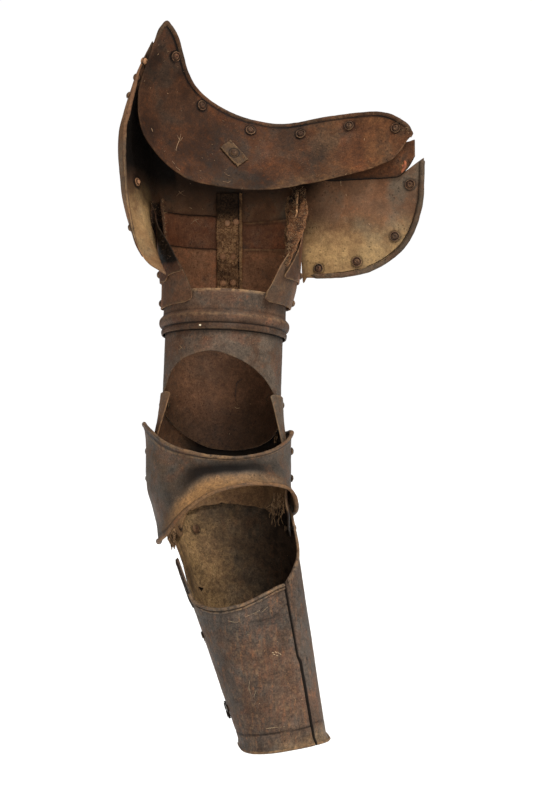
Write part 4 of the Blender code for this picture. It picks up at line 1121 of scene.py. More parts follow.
crest = Build()
crest_face = shell(crest, crest_outer, PLATE, (0, 1, 0), masks=crest_masks, hammer=0.5, cell=42, seed=3, fine=0.1, calm=0.4)
along = np.concatenate([np.linspace(1.5, 0.05, 60), np.linspace(0.05, 9.98, 420)])
roll_in = 2.0 / np.maximum(crest_width(along), 5)
roll_in[:60] = 1 - 1.2 / np.maximum(crest_width(along[:60]), 4)
roll_path, roll_normal = crest_at(along, roll_in, 0.25)
for _ in range(6):  # turns the two edges into each other at the tip
    roll_path[50:72] = (roll_path[49:71] + roll_path[50:72] + roll_path[51:73]) / 3
roll_radius = np.where(np.arange(480) < 60, 1.0 + 1.15 * step(0, 50, np.arange(480)), 2.15) * (1 - 0.35 * step(9.4, 10, along) * (np.arange(480) > 60))
tube(crest, roll_path, roll_radius, 16, lean=roll_normal, masks=lambda p: {"grey": 0.75 + 0 * p[:, 0], "wear": 0.12 + 0.2 * rough(p, 12, 9, 3), "dark": 0.25 + 0 * p[:, 0]}, seed=21, wobble=0.09)
crest.make("crest_plate_look", "pauldron", BROWN_INNER, "crest_plate", slot="brown_iron")

# ---------------------------------------------------------------- main plate
us, ts = grid(
    np.concatenate([np.linspace(0, 1, 56)[:-1], np.linspace(1, 3, 40)[:-1], np.linspace(3, 4.85, 38)[:-1], np.linspace(4.85, 5.25, 36)[:-1], np.linspace(5.25, 7, 86)]),
    np.concatenate([np.linspace(0, 0.93, 74), np.linspace(0.94, 1, 7)]),
)
top, low = column(MAIN_EDGES, 0, 1, us), column(MAIN_EDGES, 0, 2, us)
low = low + ragged(us * 45, 0.8, 9, 18) * (us < 4.9)
top = top - ragged(us * 45, 0.8, 6, 16, ((8, 2.5, 0.9), (22, 3, 1.2)))
main_outer = main_at(us, top + (low - top) * ts)


def main_masks(p, side, near, on):
    inner = side > 0.4
    x, y, z = p.T
    right = step(60, 72, x)
    left = (1 - step(-70, -60, x)) * on(us < 1.2)
    behind = (x < -40) * on(us < 2.2) * step(-30, -4, z)
    bloom = 9 * rough(p, 34, 12, 3)
    yellow = right * (1 - step(-92, -48, z + bloom)) + left * (1 - step(-44, -22, z + 0.5 * bloom)) * (0.7 + 0.3 * rough(p, 25, 5, 2))
    orange = left * (1 - step(-104, -92, z)) + 0.7 * right * np.exp(-near / 7) * (1 - step(-90, -60, z))
    # under is the crest plate's painted shadow on the main plate below it.
    under = step(-52, -18, z) * (1 - step(66, 96, x))
    spots = [main_at(np.float64(a), np.float64(h)) for _, a, h in WING_RIVETS]
    return {
        "ochre": inner * yellow * (0.8 - 0.3 * np.exp(-near / 5)) + (~inner) * left * 0.35 * np.exp(-near / 6) * on(1 - step(0.3, 0.9, us)),
        "red": inner * 0.5 * orange + (~inner) * 0.4,
        # Painted shade: shadow rings round the rivets, the crest's shadow below it, shade over the narrow wing's upper
        # part and at the back, and a shadow band across the broad wing.
        "dark": inner * (0.7 * rings(p, spots, 5.6, 0.8) + (0.84 * under * (1 - 0.45 * left) + 0.22 * left * step(-20, 10, z)) * on(step(0.2, 0.36, us)) * (1 - 0.95 * (x < -40) * step(44, 62, z)) + 0.22 * right * hump(-22, 12, z) * (1 - step(96, 140, x)) + 0.3 * left * step(-56, -40, z) + 0.25 * behind * step(-44, -60, x)),
        "grey": inner * 0.3 * right * hump(-50, 22, z) * step(-0.2, 0.5, rough(p, 30, 41, 2)),
    }


main = Build()
main_face = shell(main, main_outer, PLATE, (0, 1, 0), masks=main_masks, hammer=0.55, cell=46, seed=14, fine=0.1, calm=0.3)


def main_rim(start, stop, count, end_up=None):
    """The broad wing's turned rim: along its lower edge, then up its outer end."""
    a = np.linspace(start, stop, count)
    path = main_at(a, column(MAIN_EDGES, 0, 2, a))
    if end_up is not None:
        z = np.linspace(column(MAIN_EDGES, 0, 2, 7.0), end_up, 50)[1:]
        path = np.concatenate([path, main_at(0 * z + 7, z)])
    return path


rim = main_rim(5.2, 7.0, 170, -5.0)
centre = np.array((118.0, 4.0, -62.0))
inwards = unit((centre - rim) * (1, 0, 1))
rim_radius = 1.0 + 1.5 * step(0, 14, np.arange(len(rim)))
rim_path = rim + inwards * 2.0 + np.array((0, -0.9, 0))
tube(main, rim_path, rim_radius, 14, lean=np.array((0, 1.0, 0)), masks=lambda p: {"dark": 0.35 + 0.2 * rough(p, 14, 3, 2), "grey": 0.7 + 0 * p[:, 0], "wear": 0.1 + 0.1 * rough(p, 10, 8, 2)}, seed=33, wobble=0.1)
# A thin near-black wire along the rim, standing in as painted shade for the crease inside it.
groove_shade = rim + inwards * 5.1 + np.array((0, -1.35, 0))
tube(main, groove_shade, 0.42, 6, lean=np.array((0, 1.0, 0)), masks={"dark": 0.85}, seed=34)
level = np.linspace(74, -99, 190)
wing_edge = main_at(0 * level + 0.03, level)
wing_radius = np.interp(level, (-99, -86, -40, 20, 55, 74), (0.7, 1.2, 1.5, 2.0, 1.9, 0.9))
wing_edge = wing_edge + wing_radius[:, None] * np.array((0.75, 0.1, 0)) + np.array((0, -0.2, 0))
tube(main, wing_edge, wing_radius, 12, lean=np.array((0, 1.0, 0)), masks=lambda p: {"red": 0.35 + 0.3 * rough(p, 12, 4, 2), "dark": 0.12 + 0.25 * step(-10, -50, p[:, 2]), "wear": 0.15 + 0.2 * rough(p, 9, 5, 2)}, seed=36, wobble=0.12)
main.make("main_plate_look", "pauldron", WING, "main_plate", slot="brown_iron")

# ---------------------------------------------------------------- neck lame
us, ts = grid(np.linspace(1.2, 6.87, 200), np.linspace(0, 1, 20))
top, low = column(NECK_EDGES, 0, 1, us), column(NECK_EDGES, 0, 2, us)
z = top - ragged(us * 45, 0.9, 12, 15) + (low - top) * ts
neck_outer = main_at(us, z) - (PLATE + 1.5) * main_normal(us, z)


def neck_masks(p, side, near, on):
    spot = np.exp(-(((p[:, 0] - 158.5) / 3.0) ** 2 + ((p[:, 2] + 12.0) / 4.6) ** 2) ** 1.5) * (side > 0.4)
    # Painted shade over the lame's left part, where the crest shades it, and a painted shadow line along its lower
    # edge; the spot is rust.
    return {"red": 0.12, "ochre": spot * 0.95, "dark": (side > 0.4) * (0.5 * (1 - step(95, 150, p[:, 0])) + 0.95 * step(0.93, 0.985, on(ts)))}


neck = Build()
neck_face = shell(neck, neck_outer, LAME, (0, 1, 0), masks=neck_masks, hammer=0.3, cell=40, seed=14, fine=0.08)
neck.make("neck_lame_look", "pauldron", BROWN_INNER, "neck_lame", slot="brown_iron")

# ---------------------------------------------------------------- pauldron lames
lame_faces = {}
for name, table, edges, first, last, seed in (
    ("upper_pauldron_lame", UPPER_LAME, upper_lame_edges, 52, 320, 31),
    ("lower_pauldron_lame", LOWER_LAME, lower_lame_edges, 36, 330, 32),
):
    us, ts = grid(np.linspace(first, last, 230), np.linspace(0, 1, 30))
    top, low = edges(us)
    top = top - ragged(us * 1.1, 0.7, seed, 12, ((210, 3, 0.8), (120, 2, 0.7)))
    low = low + ragged(us * 1.1, 0.5, seed + 5, 12)
    outer = lame_at(table, us, top + (low - top) * ts)

    def lame_masks(p, side, near, on, seed=seed):
        inner = side > 0.4
        lip = on(ts * (top - low))
        tabs = 1 - step(-14, 4, p[:, 1])
        return {
            # Rust stripes on the lower lame's tab, worn tab ends, and a painted highlight along the inner top edge on
            # the right.
            "wear": (~inner) * 0.8 * (hump(44.4, 0.8, p[:, 0] + 0.12 * (p[:, 2] + 126)) + hump(47.6, 0.6, p[:, 0] + 0.1 * (p[:, 2] + 126))) * hump(-126, 5.5, p[:, 2]) + 1.3 * np.exp(-near / 0.6) * on(np.maximum(1 - step(70, 84, us), step(276, 290, us))) + 0.9 * inner * np.exp(-(((lip - 0.6) / 0.9) ** 2)) * step(2, 14, p[:, 0]),
            "red": inner * 0.4 * step(0, 0.5, rough(p, 22, seed, 2)) + 0.08 * inner * step(10, 40, p[:, 0]) * (1 - step(-110, -80, p[:, 2])),
            "grey": (~inner) * (0.1 + 0.75 * step(-10, 20, p[:, 0])),
            # Painted shade: a shadow line along the inner top edge on the left, a shade line under the right's
            # highlight, and the outer faces darkened, most on the left tab behind the wing.
            "dark": inner * 0.9 * np.exp(-((lip / 1.5) ** 2)) * (1 - step(-8, 6, p[:, 0])) + inner * 0.5 * np.exp(-(((lip - 2.6) / 1.2) ** 2)) * step(2, 14, p[:, 0]) + (~inner) * tabs * (0.8 * (p[:, 0] < 0) * step(-106, -98, p[:, 2]) * (0.9 + 0.3 * rough(p, 8, 4, 2)) + 0.56 + 0.1 * (p[:, 0] < 0)) + 0.16 * (~inner) * (1 - tabs),
        }

    piece = Build()
    lame_faces[name] = shell(piece, outer, LAME, (0, 1, 0), masks=lame_masks, hammer=0.3, cell=44, seed=14, fine=0.07, calm=0.3)
    piece.make(name + "_look", "pauldron", LAMES if name == "upper_pauldron_lame" else LAMES_LIT, name, slot="brown_iron")

# ---------------------------------------------------------------- turner collar
profile = np.array(COLLAR, float)
t = np.linspace(0, len(profile) - 1, 46)
s, r = (through(np.repeat(profile[:, k : k + 1], 3, 1), t)[:, 0] for k in (0, 1))
us, ss = grid(np.arange(230) * 360 / 230, s)
_, rs = grid(np.arange(230), r)
ss = ss + 0.35 * wander(us * 1.0 * np.pi * 57 / 180, 40, 3, 2) * step(18, 25, ss)
collar_outer = upper_arm.at(us, ss, rs)


def collar_masks(p, side, near, on):
    height = on(ss)
    inner = side > 0.7
    bead_highlight = hump(1.6, 1.5, height) * (0.55 + 0.4 * rough(p, 14, 7, 3))
    return {
        # A painted highlight along the bead's top, and a bright line along the upper edge.
        "wear": (~inner) * 0.6 * bead_highlight + 1.2 * step(23.9, 24.6, height),
        # Painted shade in the crease under the bead, over the lower band, in a line above the bead and over the inside.
        "dark": (~inner) * 0.9 * hump(-5.6, 0.8, height) + (~inner) * 0.3 * step(-5.5, -7.5, height) + 0.35 * (~inner) * hump(6.6, 1.0, height) + inner * 0.25,
        "red": 0.5 * hump(0, 3.0, height) * (0.5 + 0.5 * rough(p, 20, 17, 2)),
        "grey": 0.45 * step(7, 12, height),
    }


collar = Build()
collar_face = shell(collar, collar_outer, PLATE, (0, 1, 0), closed=True, masks=collar_masks, hammer=0.22, cell=44, seed=14, fine=0.08)
collar.make("turner_collar_look", "pauldron", COLLAR_IRON, "turner_collar", slot="rusted_iron")

# ---------------------------------------------------------------- upper cannon
TURN = np.arange(250) * 360 / 250
flange = np.array(CANNON_FLANGE, float)
t = np.linspace(0, 3, 12)
s, r = (through(np.repeat(flange[:, k : k + 1], 3, 1), t)[:, 0] for k in (0, 1))
edge = column(CANNON_EDGE, 0, 1, signed(TURN), 360) + ragged(TURN * 0.96, 0.5, 15, 16)
down = np.linspace(0, 1, 60)[1:]
us, _ = grid(TURN, np.zeros(12 + 59))
ss = np.concatenate([np.repeat(s[None], 250, 0), -12 + (edge[:, None] + 12) * down[None]], 1)
rs = np.concatenate([np.repeat(r[None], 250, 0), np.full((250, 59), CANNON_RADIUS)], 1)
cannon_outer = upper_arm.at(us, ss, rs)


def cannon_masks(p, side, near, on):
    inner = side > 0.7
    x = p[:, 0]
    bend = np.clip((p[:, 2] + 213) / 5.5, 0, 1)
    seam = hump(1.0, 0.5 + 0.5 * bend, x - 6.0 * bend**1.5 + 0.5 * rough(p, 9, 6, 2)) * (p[:, 1] > 20) * inner * (p[:, 2] > -229) * (p[:, 2] < -207.5)
    return {
        "wear": 0.0 * x,
        "red": (~inner) * 0.2 * step(20, -30, x) + inner * 0.2 * step(-0.2, 0.5, rough(p, 26, 19, 2)),
        "grey": (~inner) * (0.35 + 0.4 * step(-10, 40, x)),
        # Painted shade over the inside, deepening to the right and the bottom, and painted shadow under the collar's
        # lip outside; the seam mark is a crack.
        "dark": inner * (0.05 + 0.16 * step(-15, 45, x) + 0.34 * step(-218, -250, p[:, 2])) + 0.8 * seam + (~inner) * (0.85 * hump(-11.6, 0.9, on(ss)) + 0.3 * hump(-13, 3, on(ss))),
        "ochre": inner * 0.8,
    }


cannon = Build()
mid = cannon_outer[125, 35] - upper_arm.origin
cannon_face = shell(cannon, cannon_outer, PLATE, mid - mid.dot(upper_arm.up) * upper_arm.up, closed=True, masks=cannon_masks, hammer=0.22, cell=44, seed=14, fine=0.09)
cannon.make("upper_cannon_look", "upper_cannon", CANNON_IRON, "upper_cannon", slot="rusted_iron")

# ---------------------------------------------------------------- elbow lames
for name, body, at, edges, first, last, seed in (
    ("elbow_upper_lame", "elbow_upper_lame", elbow_upper_at, ELBOW_UPPER_EDGES, 54, 306, 41),
    ("elbow_lower_lame", "elbow_lower_lame", elbow_lower_at, ELBOW_LOWER_EDGES, 78, 282, 42),
):
    us, ts = grid(np.linspace(first, last, 220), np.linspace(0, 1, 24))
    top, low = column(edges, 0, 1, folded(us)), column(edges, 0, 2, folded(us))
    top = top - ragged(us * 1.05, 0.9, seed, 10, ((88, 2, 0.8),))
    low = low + ragged(us * 1.05, 1.6, seed + 6, 9, ((150, 3, 1.2), (196, 2.4, 1.5), (236, 3, 1.2)))
    outer = at(us, top + (low - top) * ts)

    def elbow_masks(p, side, near, on, us=us, name=name):
        inner = side > 0.7
        left = on(us > 200)
        return {
            "wear": 0.3 * np.exp(-near / 0.7) * (p[:, 2] > -330),
            "red": 0.4 * left * (~inner) + 0.5 * (name == "elbow_upper_lame") * inner * (1 - step(-54, -38, p[:, 0])),
            "ochre": (0.1 if name == "elbow_upper_lame" else 0.75) * inner * (0.7 + 0.4 * rough(p, 20, 3, 3)) + 0.25 * left * (~inner),
            "grey": 0.5 * (1 - left) * (~inner),
            # Painted shade inside the lames, deepening towards the right, and over the lower lame's lower right.
            "dark": (name == "elbow_upper_lame") * inner * (0.12 + 0.84 * step(-56, -32, p[:, 0])) + (name == "elbow_lower_lame") * (0.92 * step(34, 44, p[:, 0]) * step(-326, -333, p[:, 2]) + 0.3 * inner * step(-8, 30, p[:, 0])),
        }

    piece = Build()
    lame_faces[name] = shell(piece, outer, LAME, (0, 1, 0), masks=elbow_masks, hammer=0.2, cell=44, seed=14, fine=0.1, calm=0.2)
    piece.make(name + "_look", body, ELBOW_IRON, name, slot="rusted_iron")

# ---------------------------------------------------------------- couter
TURN = np.arange(270) * 360 / 270
us, ts = grid(TURN, np.linspace(0.012, 0.988, 66))
couter_outer = couter_at(us, ts)


# Where the couter's lower flare begins: angle, height from the upper rim (0) to the lower rim (1), how ochre the flare
# is and how much painted shade lies in the hollow above it.
#                angle   height  ochre  shade
FLARE_EDGE = (
    (-75, 0.90, 0.05, 0.0),
    (-52, 0.76, 0.3, 0.12),
    (-40, 0.69, 0.75, 0.26),
    (-31, 0.62, 1.0, 0.46),
    (-24, 0.56, 1.0, 0.7),
    (-15, 0.50, 1.0, 0.97),
    (-3, 0.445, 1.0, 1.0),
    (13, 0.465, 0.75, 1.0),
    (31, 0.50, 0.5, 0.85),
    (43, 0.57, 0.4, 0.5),
    (60, 0.64, 0.3, 0.15),
    (75, 0.70, 0.2, 0.0),
)


def couter_masks(p, side, near, on):
    inner = side > 0.7
    a, t = on(signed(us)), on(ts)
    front = step(0.1, 0.7, cos_d(a))
    edge_low = column(FLARE_EDGE, 0, 1, np.clip(a, -75, 75)) + 0.03 * rough(p, 14, 9, 3)
    flare = step(edge_low - 0.03, edge_low + 0.3, t) * front * column(FLARE_EDGE, 0, 2, np.clip(a, -75, 75))
    above = edge_low - t
    valley_shade = step(-0.16, 0.05, above) * (1 - step(0.15, 0.42, above)) * front * column(FLARE_EDGE, 0, 3, np.clip(a, -75, 75))
    rim_shade_lines = hump(0.052, 0.014, t) + hump(0.952, 0.012, t)
    return {
        "ochre": (~inner) * flare * 0.9 + 0.25 * inner,
        "red": (~inner) * (0.4 * np.exp(-near / 4) + 0.12 * step(-50, -80, a) * step(-0.1, 0.5, rough(p, 12, 4, 3)) + 0.6 * step(-62, -80, a) * (1 - step(0.2, 0.42, t))),
        "grey": (~inner) * 0.25 * (1 - flare),
        # A painted highlight in a thin line under the upper rim, at the front.
        "wear": (~inner) * 0.65 * hump(0.08, 0.013, t) * front,
        # Painted shade in the hollow above the flare, in a line beside each rim and over the front inside; the right
        # side is a little darker.
        "dark": (~inner) * (0.97 * valley_shade + 0.06 * step(-24, -44, a) * step(0.45, 0.6, t) * (1 - flare) + 0.12 * step(16, 50, a) + 0.8 * rim_shade_lines) + 0.3 * inner * front,
    }


couter = Build()
couter_face = shell(couter, couter_outer, PLATE, (0, 1, 0), closed=True, masks=couter_masks, hammer=0.3, cell=40, seed=51, fine=0.1)
turn = np.arange(420) * 360 / 420
level = signed(turn)
blunt = (0.7 * hump(-90, 9, level) + 0.9 * hump(97, 15, level), 1.2 * hump(-82, 12, level) + 0.8 * hump(92, 14, level))
for t, radius, seed in ((0.0, 1.5 + blunt[0], 61), (1.0, 1.6 + blunt[1], 62)):
    path = couter_at(turn, np.full(420, t))
    out = elbow.outward(turn)
    path = path - 0.5 * out
    tube(
        couter,
        path,
        radius,
        14,
        closed=True,
        lean=out,
        masks=lambda p, t=t: {
            "ochre": (0.1 + 0.35 * t) * (p[:, 1] < 0) * (0.6 + 0.4 * rough(p, 16, 6, 3)),
            "red": 0.35 + 0.5 * t + 0.3 * rough(p, 11, 7, 2),
            "dark": 0.2 + 0 * p[:, 0],
            # Worn rims, and a painted highlight on the upper rim's front.
            "wear": 0.28 + 0.35 * rough(p, 9, 8, 3) + 1.1 * (t == 0) * hump(-13, 11, p[:, 0]) * (p[:, 1] < 0),
        },
        seed=seed,
        wobble=0.1,
    )
couter.make("couter_look", "couter", COUTER_IRON, "couter", slot="rusted_iron")


# ---------------------------------------------------------------- lower cannon
def seam_shift(s):
    """The seam of the forearm's two shells isn't straight: it steps below its stud."""
    return -0.9 + 2.4 * step(-104, -112, s) - 0.7 * step(-130, -180, s)


def wrist_lip(s, low):
    """The wrist's edge is turned out."""
    return 1.7 * step(7.5, 0.5, s - low)


us, ts = grid(np.concatenate([np.linspace(38, 47, 24)[:-1], np.linspace(47, 277, 206)]), np.concatenate([np.linspace(0, 0.95, 88), np.linspace(0.955, 1, 9)]))
top, low = column(SHELL_TOP, 0, 1, us), wrist(us)
top = top - ragged(us * 0.95, 0.6, 71, 14)
ss = top + (low - top) * ts
lean_in = seam_shift(ss) * (1 - step(46, 62, us))
flat_front = 1 - step(50, 60, us)
border = hump(low + 19.5, 0.9, ss) * (1 - 0.6 * step(110, 150, us))
shell_outer = shell_at(us + lean_in, ss)
out = forearm.outward(us)
shell_outer = shell_outer + (wrist_lip(ss, low) - 0.45 * border)[..., None] * out


def cannon_low_masks(p, side, near, on):
    inner = side > 0.7
    a, s = on(us), on(ss)
    facing = step(-90, -150, np.where(a > 180, a - 360, -180))  # the side that the light reaches
    olive = 0.55 + 0.4 * step(150, 235, a)
    spot = np.exp(-(((a - 57) / 1.7) ** 2 + ((s + 110) / 1.7) ** 2) ** 2)
    stud = rings(p, [shell_at(np.float64(219), np.float64(25.0))], 5.0, 0.9) * inner
    stroke = np.exp(-(((a - 55.5 + 0.18 * (s + 118)) / 0.7) ** 2)) * hump(-119, 6, s)
    return {
        "ochre": inner * olive * (0.75 + 0.25 * rough(p, 16, 7, 3)) * step(100, 215, a) + (~inner) * 0.3 * step(low.mean() + 14, low.mean(), s),
        # Painted shade over the inside away from the light and in the border's crease, painted shadow rings round the
        # stud, a near-black strip where the back shell runs under the front shell, a spot, and random dirt.
        "dark": (~inner) * np.maximum(0.7 * on(border), 0.97 * (1 - step(45.6, 46.8, a))) + inner * 0.76 * (1 - step(118, 238, a)) + inner * 0.18 * step(0.1, 0.7, rough(p, 5, 3, 2)) + 0.9 * spot * (~inner) + 0.8 * stud,
        "grey": 0.3 * (~inner),
        "wear": 0.5 * stroke * (~inner),
        "red": (~inner) * 0.3 * step(0.1, 0.6, rough(p, 20, 27, 2)),
    }


lower = Build()
lower_face = shell(lower, shell_outer, PLATE, (0, 1, 0), masks=cannon_low_masks, hammer=0.25, cell=44, seed=14, fine=0.1, calm=0.3)
# Rims of its front edge, beside the elbow's window: a roll and a bead within it.
turn = np.linspace(112, 47, 130)
level = column(SHELL_TOP, 0, 1, turn)
for inset, radius, seed in ((1.0, 1.35, 73), (3.9, 0.95, 74)):
    slant = np.gradient(level) / np.maximum(np.abs(np.gradient(turn)), 1e-3) / 0.95
    path = shell_at(turn, level - inset * (0.4 + 0.6 / np.sqrt(1 + slant**2)))
    path = path + 0.25 * forearm.outward(turn)
    tube(lower, path, radius * (0.5 + 0.5 * step(0, 20, np.arange(130))), 10, lean=forearm.outward(turn), masks=lambda p: {"wear": 0.35 + 0.3 * rough(p, 10, 5, 2), "grey": 0.5}, seed=seed, wobble=0.08)
# The turned wrist edge.
turn = np.linspace(45.6, 277, 260)
level = wrist(turn) + 1.0
path = shell_at(turn + seam_shift(level) * (1 - step(46, 62, turn)), level) + (1.9 + 0.5) * forearm.outward(turn)
tube(lower, path, 1.15, 10, lean=forearm.outward(turn), masks=lambda p: {"wear": 0.2 + 0.2 * rough(p, 9, 2, 2), "ochre": 0.35, "red": 0.3}, seed=75, wobble=0.14)
lower.make("lower_cannon_look", "lower_cannon", FOREARM_IRON, "lower_cannon", slot="rusted_iron")

# The front shell, which is the door.
BORDER_TOP = ((-90, -49), (-58, -53), (-23, -61), (18, -65), (39, -58), (50, -56))
BORDER_LOW = ((-90, -160), (-54, -162.5), (-4, -165), (38, -168), (50, -169))
us, ts = grid(
    np.concatenate([np.linspace(-90.5, -70, 36)[:-1], np.linspace(-70, 42.4, 150)]),
    np.concatenate([np.linspace(0, 0.95, 100), np.linspace(0.955, 1, 10)]),
)
top, low = column(DOOR_TOP, 0, 1, us), wrist(us)
top = top - ragged(us * 0.9, 0.5, 81, 14) * (us < -74)
ss = top + (low - top) * ts
bt, bl = column(BORDER_TOP, 0, 1, us), column(BORDER_LOW, 0, 1, us)
seam = seam_shift(ss) * step(26, 41, us)
line_top, line_low = hump(bt, 0.8, ss), hump(bl, 0.8, ss)
raised = 0.3 * (step(bt - 1.5, bt + 0.5, ss) + step(bl + 1.5, bl - 0.5, ss)) * step(-92, -78, us)
door_outer = forearm.at(us + seam, ss, forearm_radius(ss))
door_outer = door_outer + (raised + wrist_lip(ss, low) - 0.6 * line_top - 0.6 * line_low)[..., None] * forearm.outward(us)


def door_masks(p, side, near, on):
    outer = side < 0.4
    a, s = on(us), on(ss)
    middle = hump(4, 30, a) * step(-52, -70, s) * (1 - step(-150, -172, s))
    foot = step(on(low) + 16, on(low) + 2, s)
    return {
        # A near-black seam at the edge, and painted shade in the two border creases.
        "dark": outer * (0.55 * step(41.4, 42.3, a) + 0.6 * on(line_top) * step(-0.5, 0.3, rough(p, 14, 3, 2)) + 0.85 * on(line_low)),
        "red": outer * (0.6 * middle * step(-0.1, 0.4, rough(p * (2.2, 2.2, 0.7), 5, 29, 3)) + 0.15 * step(0, 0.6, rough(p, 24, 61, 2))),
        "grey": outer * (0.35 * (1 - middle) + 0.5 * hump(bt.mean() + 8, 7, s)),
        "ochre": outer * foot * 0.55 * step(-30, 30, a) * (0.6 + 0.5 * rough(p, 12, 13, 3)) + (side > 0.7) * 0.6,
        "wear": outer * 0.3 * step(0.3, 0.7, rough(p * (1.6, 1.6, 0.8), 4, 15, 3)),
    }


door = Build()
door_face = shell(door, door_outer, PLATE, (0, -1, 0), masks=door_masks, hammer=0.25, cell=44, seed=14, fine=0.12, calm=0.3)
turn = np.linspace(-72.5, 42.4, 230)
for inset, radius, seed in ((0.9, 1.45, 83), (3.9, 0.95, 84)):
    level = column(DOOR_TOP, 0, 1, turn) - inset
    path = forearm.at(turn + seam_shift(level) * step(26, 41, turn), level, forearm_radius(level) + 0.75)
    tube(door, path, radius, 10, lean=forearm.outward(turn), masks=lambda p: {"wear": 0.35 + 0.35 * rough(p, 10, 5, 2), "grey": 0.8}, seed=seed, wobble=0.07)
level = np.linspace(3.6, -42.0, 60)
path = forearm.at(np.linspace(-84.5, -76.5, 60), level, forearm_radius(level) + 0.5)
tube(door, path, 1.95 * np.minimum(1, 0.55 + 0.45 * step(0, 5, np.arange(60))) * (1 - 0.5 * step(48, 60, np.arange(60))), 12, lean=forearm.outward(np.full(60, -80.0)), masks=lambda p: {"grey": 0.7, "dark": 0.45}, seed=86, wobble=0.07)
turn = np.linspace(-90.5, 42.4, 230)
level = wrist(turn) + 1.0
path = forearm.at(turn + seam_shift(level) * step(26, 41, turn), level, forearm_radius(level) + 1.2)
tube(door, path, 1.25, 10, lean=forearm.outward(turn), masks=lambda p: {"wear": 0.2 + 0.2 * rough(p, 9, 2, 2), "ochre": 0.45 * step(0, 30, p[:, 0]), "red": 0.35}, seed=85, wobble=0.16)
door.make("lower_cannon_door_look", "door", FOREARM_IRON, "lower_cannon_door", slot="rusted_iron")

# ---------------------------------------------------------------- hinges
hinge_points = {
    place: forearm.at(np.float64(angle), np.float64(s), forearm_radius(s) + lift) for place, (s, angle, lift, *_) in HINGES.items()
}
hinge_foot = hinge_points["lower"]
hinge_up = unit(hinge_points["upper"] - hinge_foot)


def strap(build, columns, wall, seed):
    outer = np.array(columns)
    u = np.linspace(0, len(outer) - 1, 26)
    near_side, far_side = (through(outer[:, k], u)[:, None] for k in (0, 1))
    v = np.linspace(0, 1, 9)[None, :, None]
    fine = near_side * (1 - v) + far_side * v
    middle = fine[13, 4]
    ref = middle - forearm.origin
    ref = ref - ref.dot(forearm.up) * forearm.up
    lifted = fine + wall * grid_normals(fine, False, ref)
    shell(build, lifted, wall, ref, hammer=0.1, cell=8, seed=seed, fine=0.05)


for place, (s, angle, lift, knuckle, length, pin, wall) in HINGES.items():
    middle = hinge_points[place]
    half = length / 2 + 0.2
    near_pin = np.degrees(knuckle * 0.5 / forearm_radius(s))
    rise = lift - 0.4 - wall / 2
    levels = (2 * half - 0.4, 0.6)
    door_columns = [
        [forearm.at(np.float64(a), np.float64(s + h), forearm_radius(s + h) + 0.4 + up * rise) for h in levels]
        for a, up in ((angle + near_pin, 1), (angle + near_pin + 3.5, 0.62), (-91, 0.06), (-84, 0), (-77, 0))
    ]
    shell_columns = [
        [shell_at(np.float64(a + 360), np.float64(s - h)) + (0.4 + up * (rise + 1.6)) * forearm.outward(np.float64(a)) for h in levels[::-1]]
        for a, up in ((angle - 17, 0), (angle - 10, 0.0), (angle - near_pin - 3, 0.5), (angle - near_pin, 1))
    ]
    for leaf, body, columns, sign, seed in (("door_leaf", "door", door_columns, 1, 91), ("shell_leaf", "lower_cannon", shell_columns, -1, 92)):
        piece = Build()
        strap(piece, columns, wall, seed)
        at = middle + sign * half * hinge_up
        lathe(
            piece,
            framed(at, hinge_up),
            ((0, length / 2), (knuckle * 0.8, length / 2), (knuckle, length / 2 - 0.5), (knuckle, -length / 2 + 0.5), (knuckle * 0.8, -length / 2), (0, -length / 2)),
            24,
            masks={"dark": 0.8, "grey": 0.2},
            beaten=0.04,
            seed=seed,
        )
        piece.make(f"hinge_{place}_{leaf}_look", body, RIVET_DARK, f"hinge_{place}_{leaf}", slot="rusted_iron")
    end = 2 * half + 0.4
    piece = Build()
    lathe(
        piece,
        framed(middle, hinge_up),
        ((0, end + 1.1), (1.6 * pin, end + 0.8), (2.0 * pin, end), (pin, end), (pin, -end), (2.0 * pin, -end), (1.6 * pin, -end - 0.8), (0, -end - 1.1)),
        20,
        masks={"dark": 0.45},
        seed=93,
    )
    piece.make(f"hinge_{place}_pin_look", "lower_cannon", RIVET_DARK, f"hinge_{place}_pin", slot="rivet_iron")

# ---------------------------------------------------------------- leathers
LEATHER_NODES = ("center_leather", "left_leather", "right_leather")


def nap(build, p, n, count, length, seed, thick=0.13, curl=0.7, keep=None):
    """Torn fibres that stand off a surface: thin, bent, three-sided hairs."""
    r = np.random.default_rng(seed)
    flat_p, flat_n = p.reshape(-1, 3), n.reshape(-1, 3)
    if keep is not None:
        chosen = np.flatnonzero(np.asarray(keep).reshape(-1))
        flat_p, flat_n = flat_p[chosen], flat_n[chosen]
    for k in r.integers(0, len(flat_p), count):
        base = flat_p[k] + r.normal(0, 0.4, 3)
        way = unit(flat_n[k] * 0.8 + r.normal(0, 0.8, 3))
        size = length * r.uniform(0.4, 1.3)
        bend = unit(r.normal(0, 1, 3)) * curl
        t = np.linspace(0, 1, 6)[:, None]
        path = base - flat_n[k] * 0.3 + size * (way * t + bend * t**2 * 0.6 + unit(r.normal(0, 1, 3)) * 0.12 * np.sin(t * 7))
        tube(build, path, thick * (1.1 - 0.7 * t[:, 0]), 3, seed=seed, wobble=0.0)


def leather(name, outer, inner_ref, look, seed, masks, ends):
    """A strap: its nodes' own place, a felted face and ragged edges."""
    build = Build()
    _, n = shell(build, outer, LEATHER * 0.95, inner_ref, masks=masks, hammer=0.0, cell=9, seed=seed, fine=0.32, calm=0.0)
    build.make(name + "_look", "pauldron", look, name, slot="leather")
    return outer - n * LEATHER * 0.95, -n


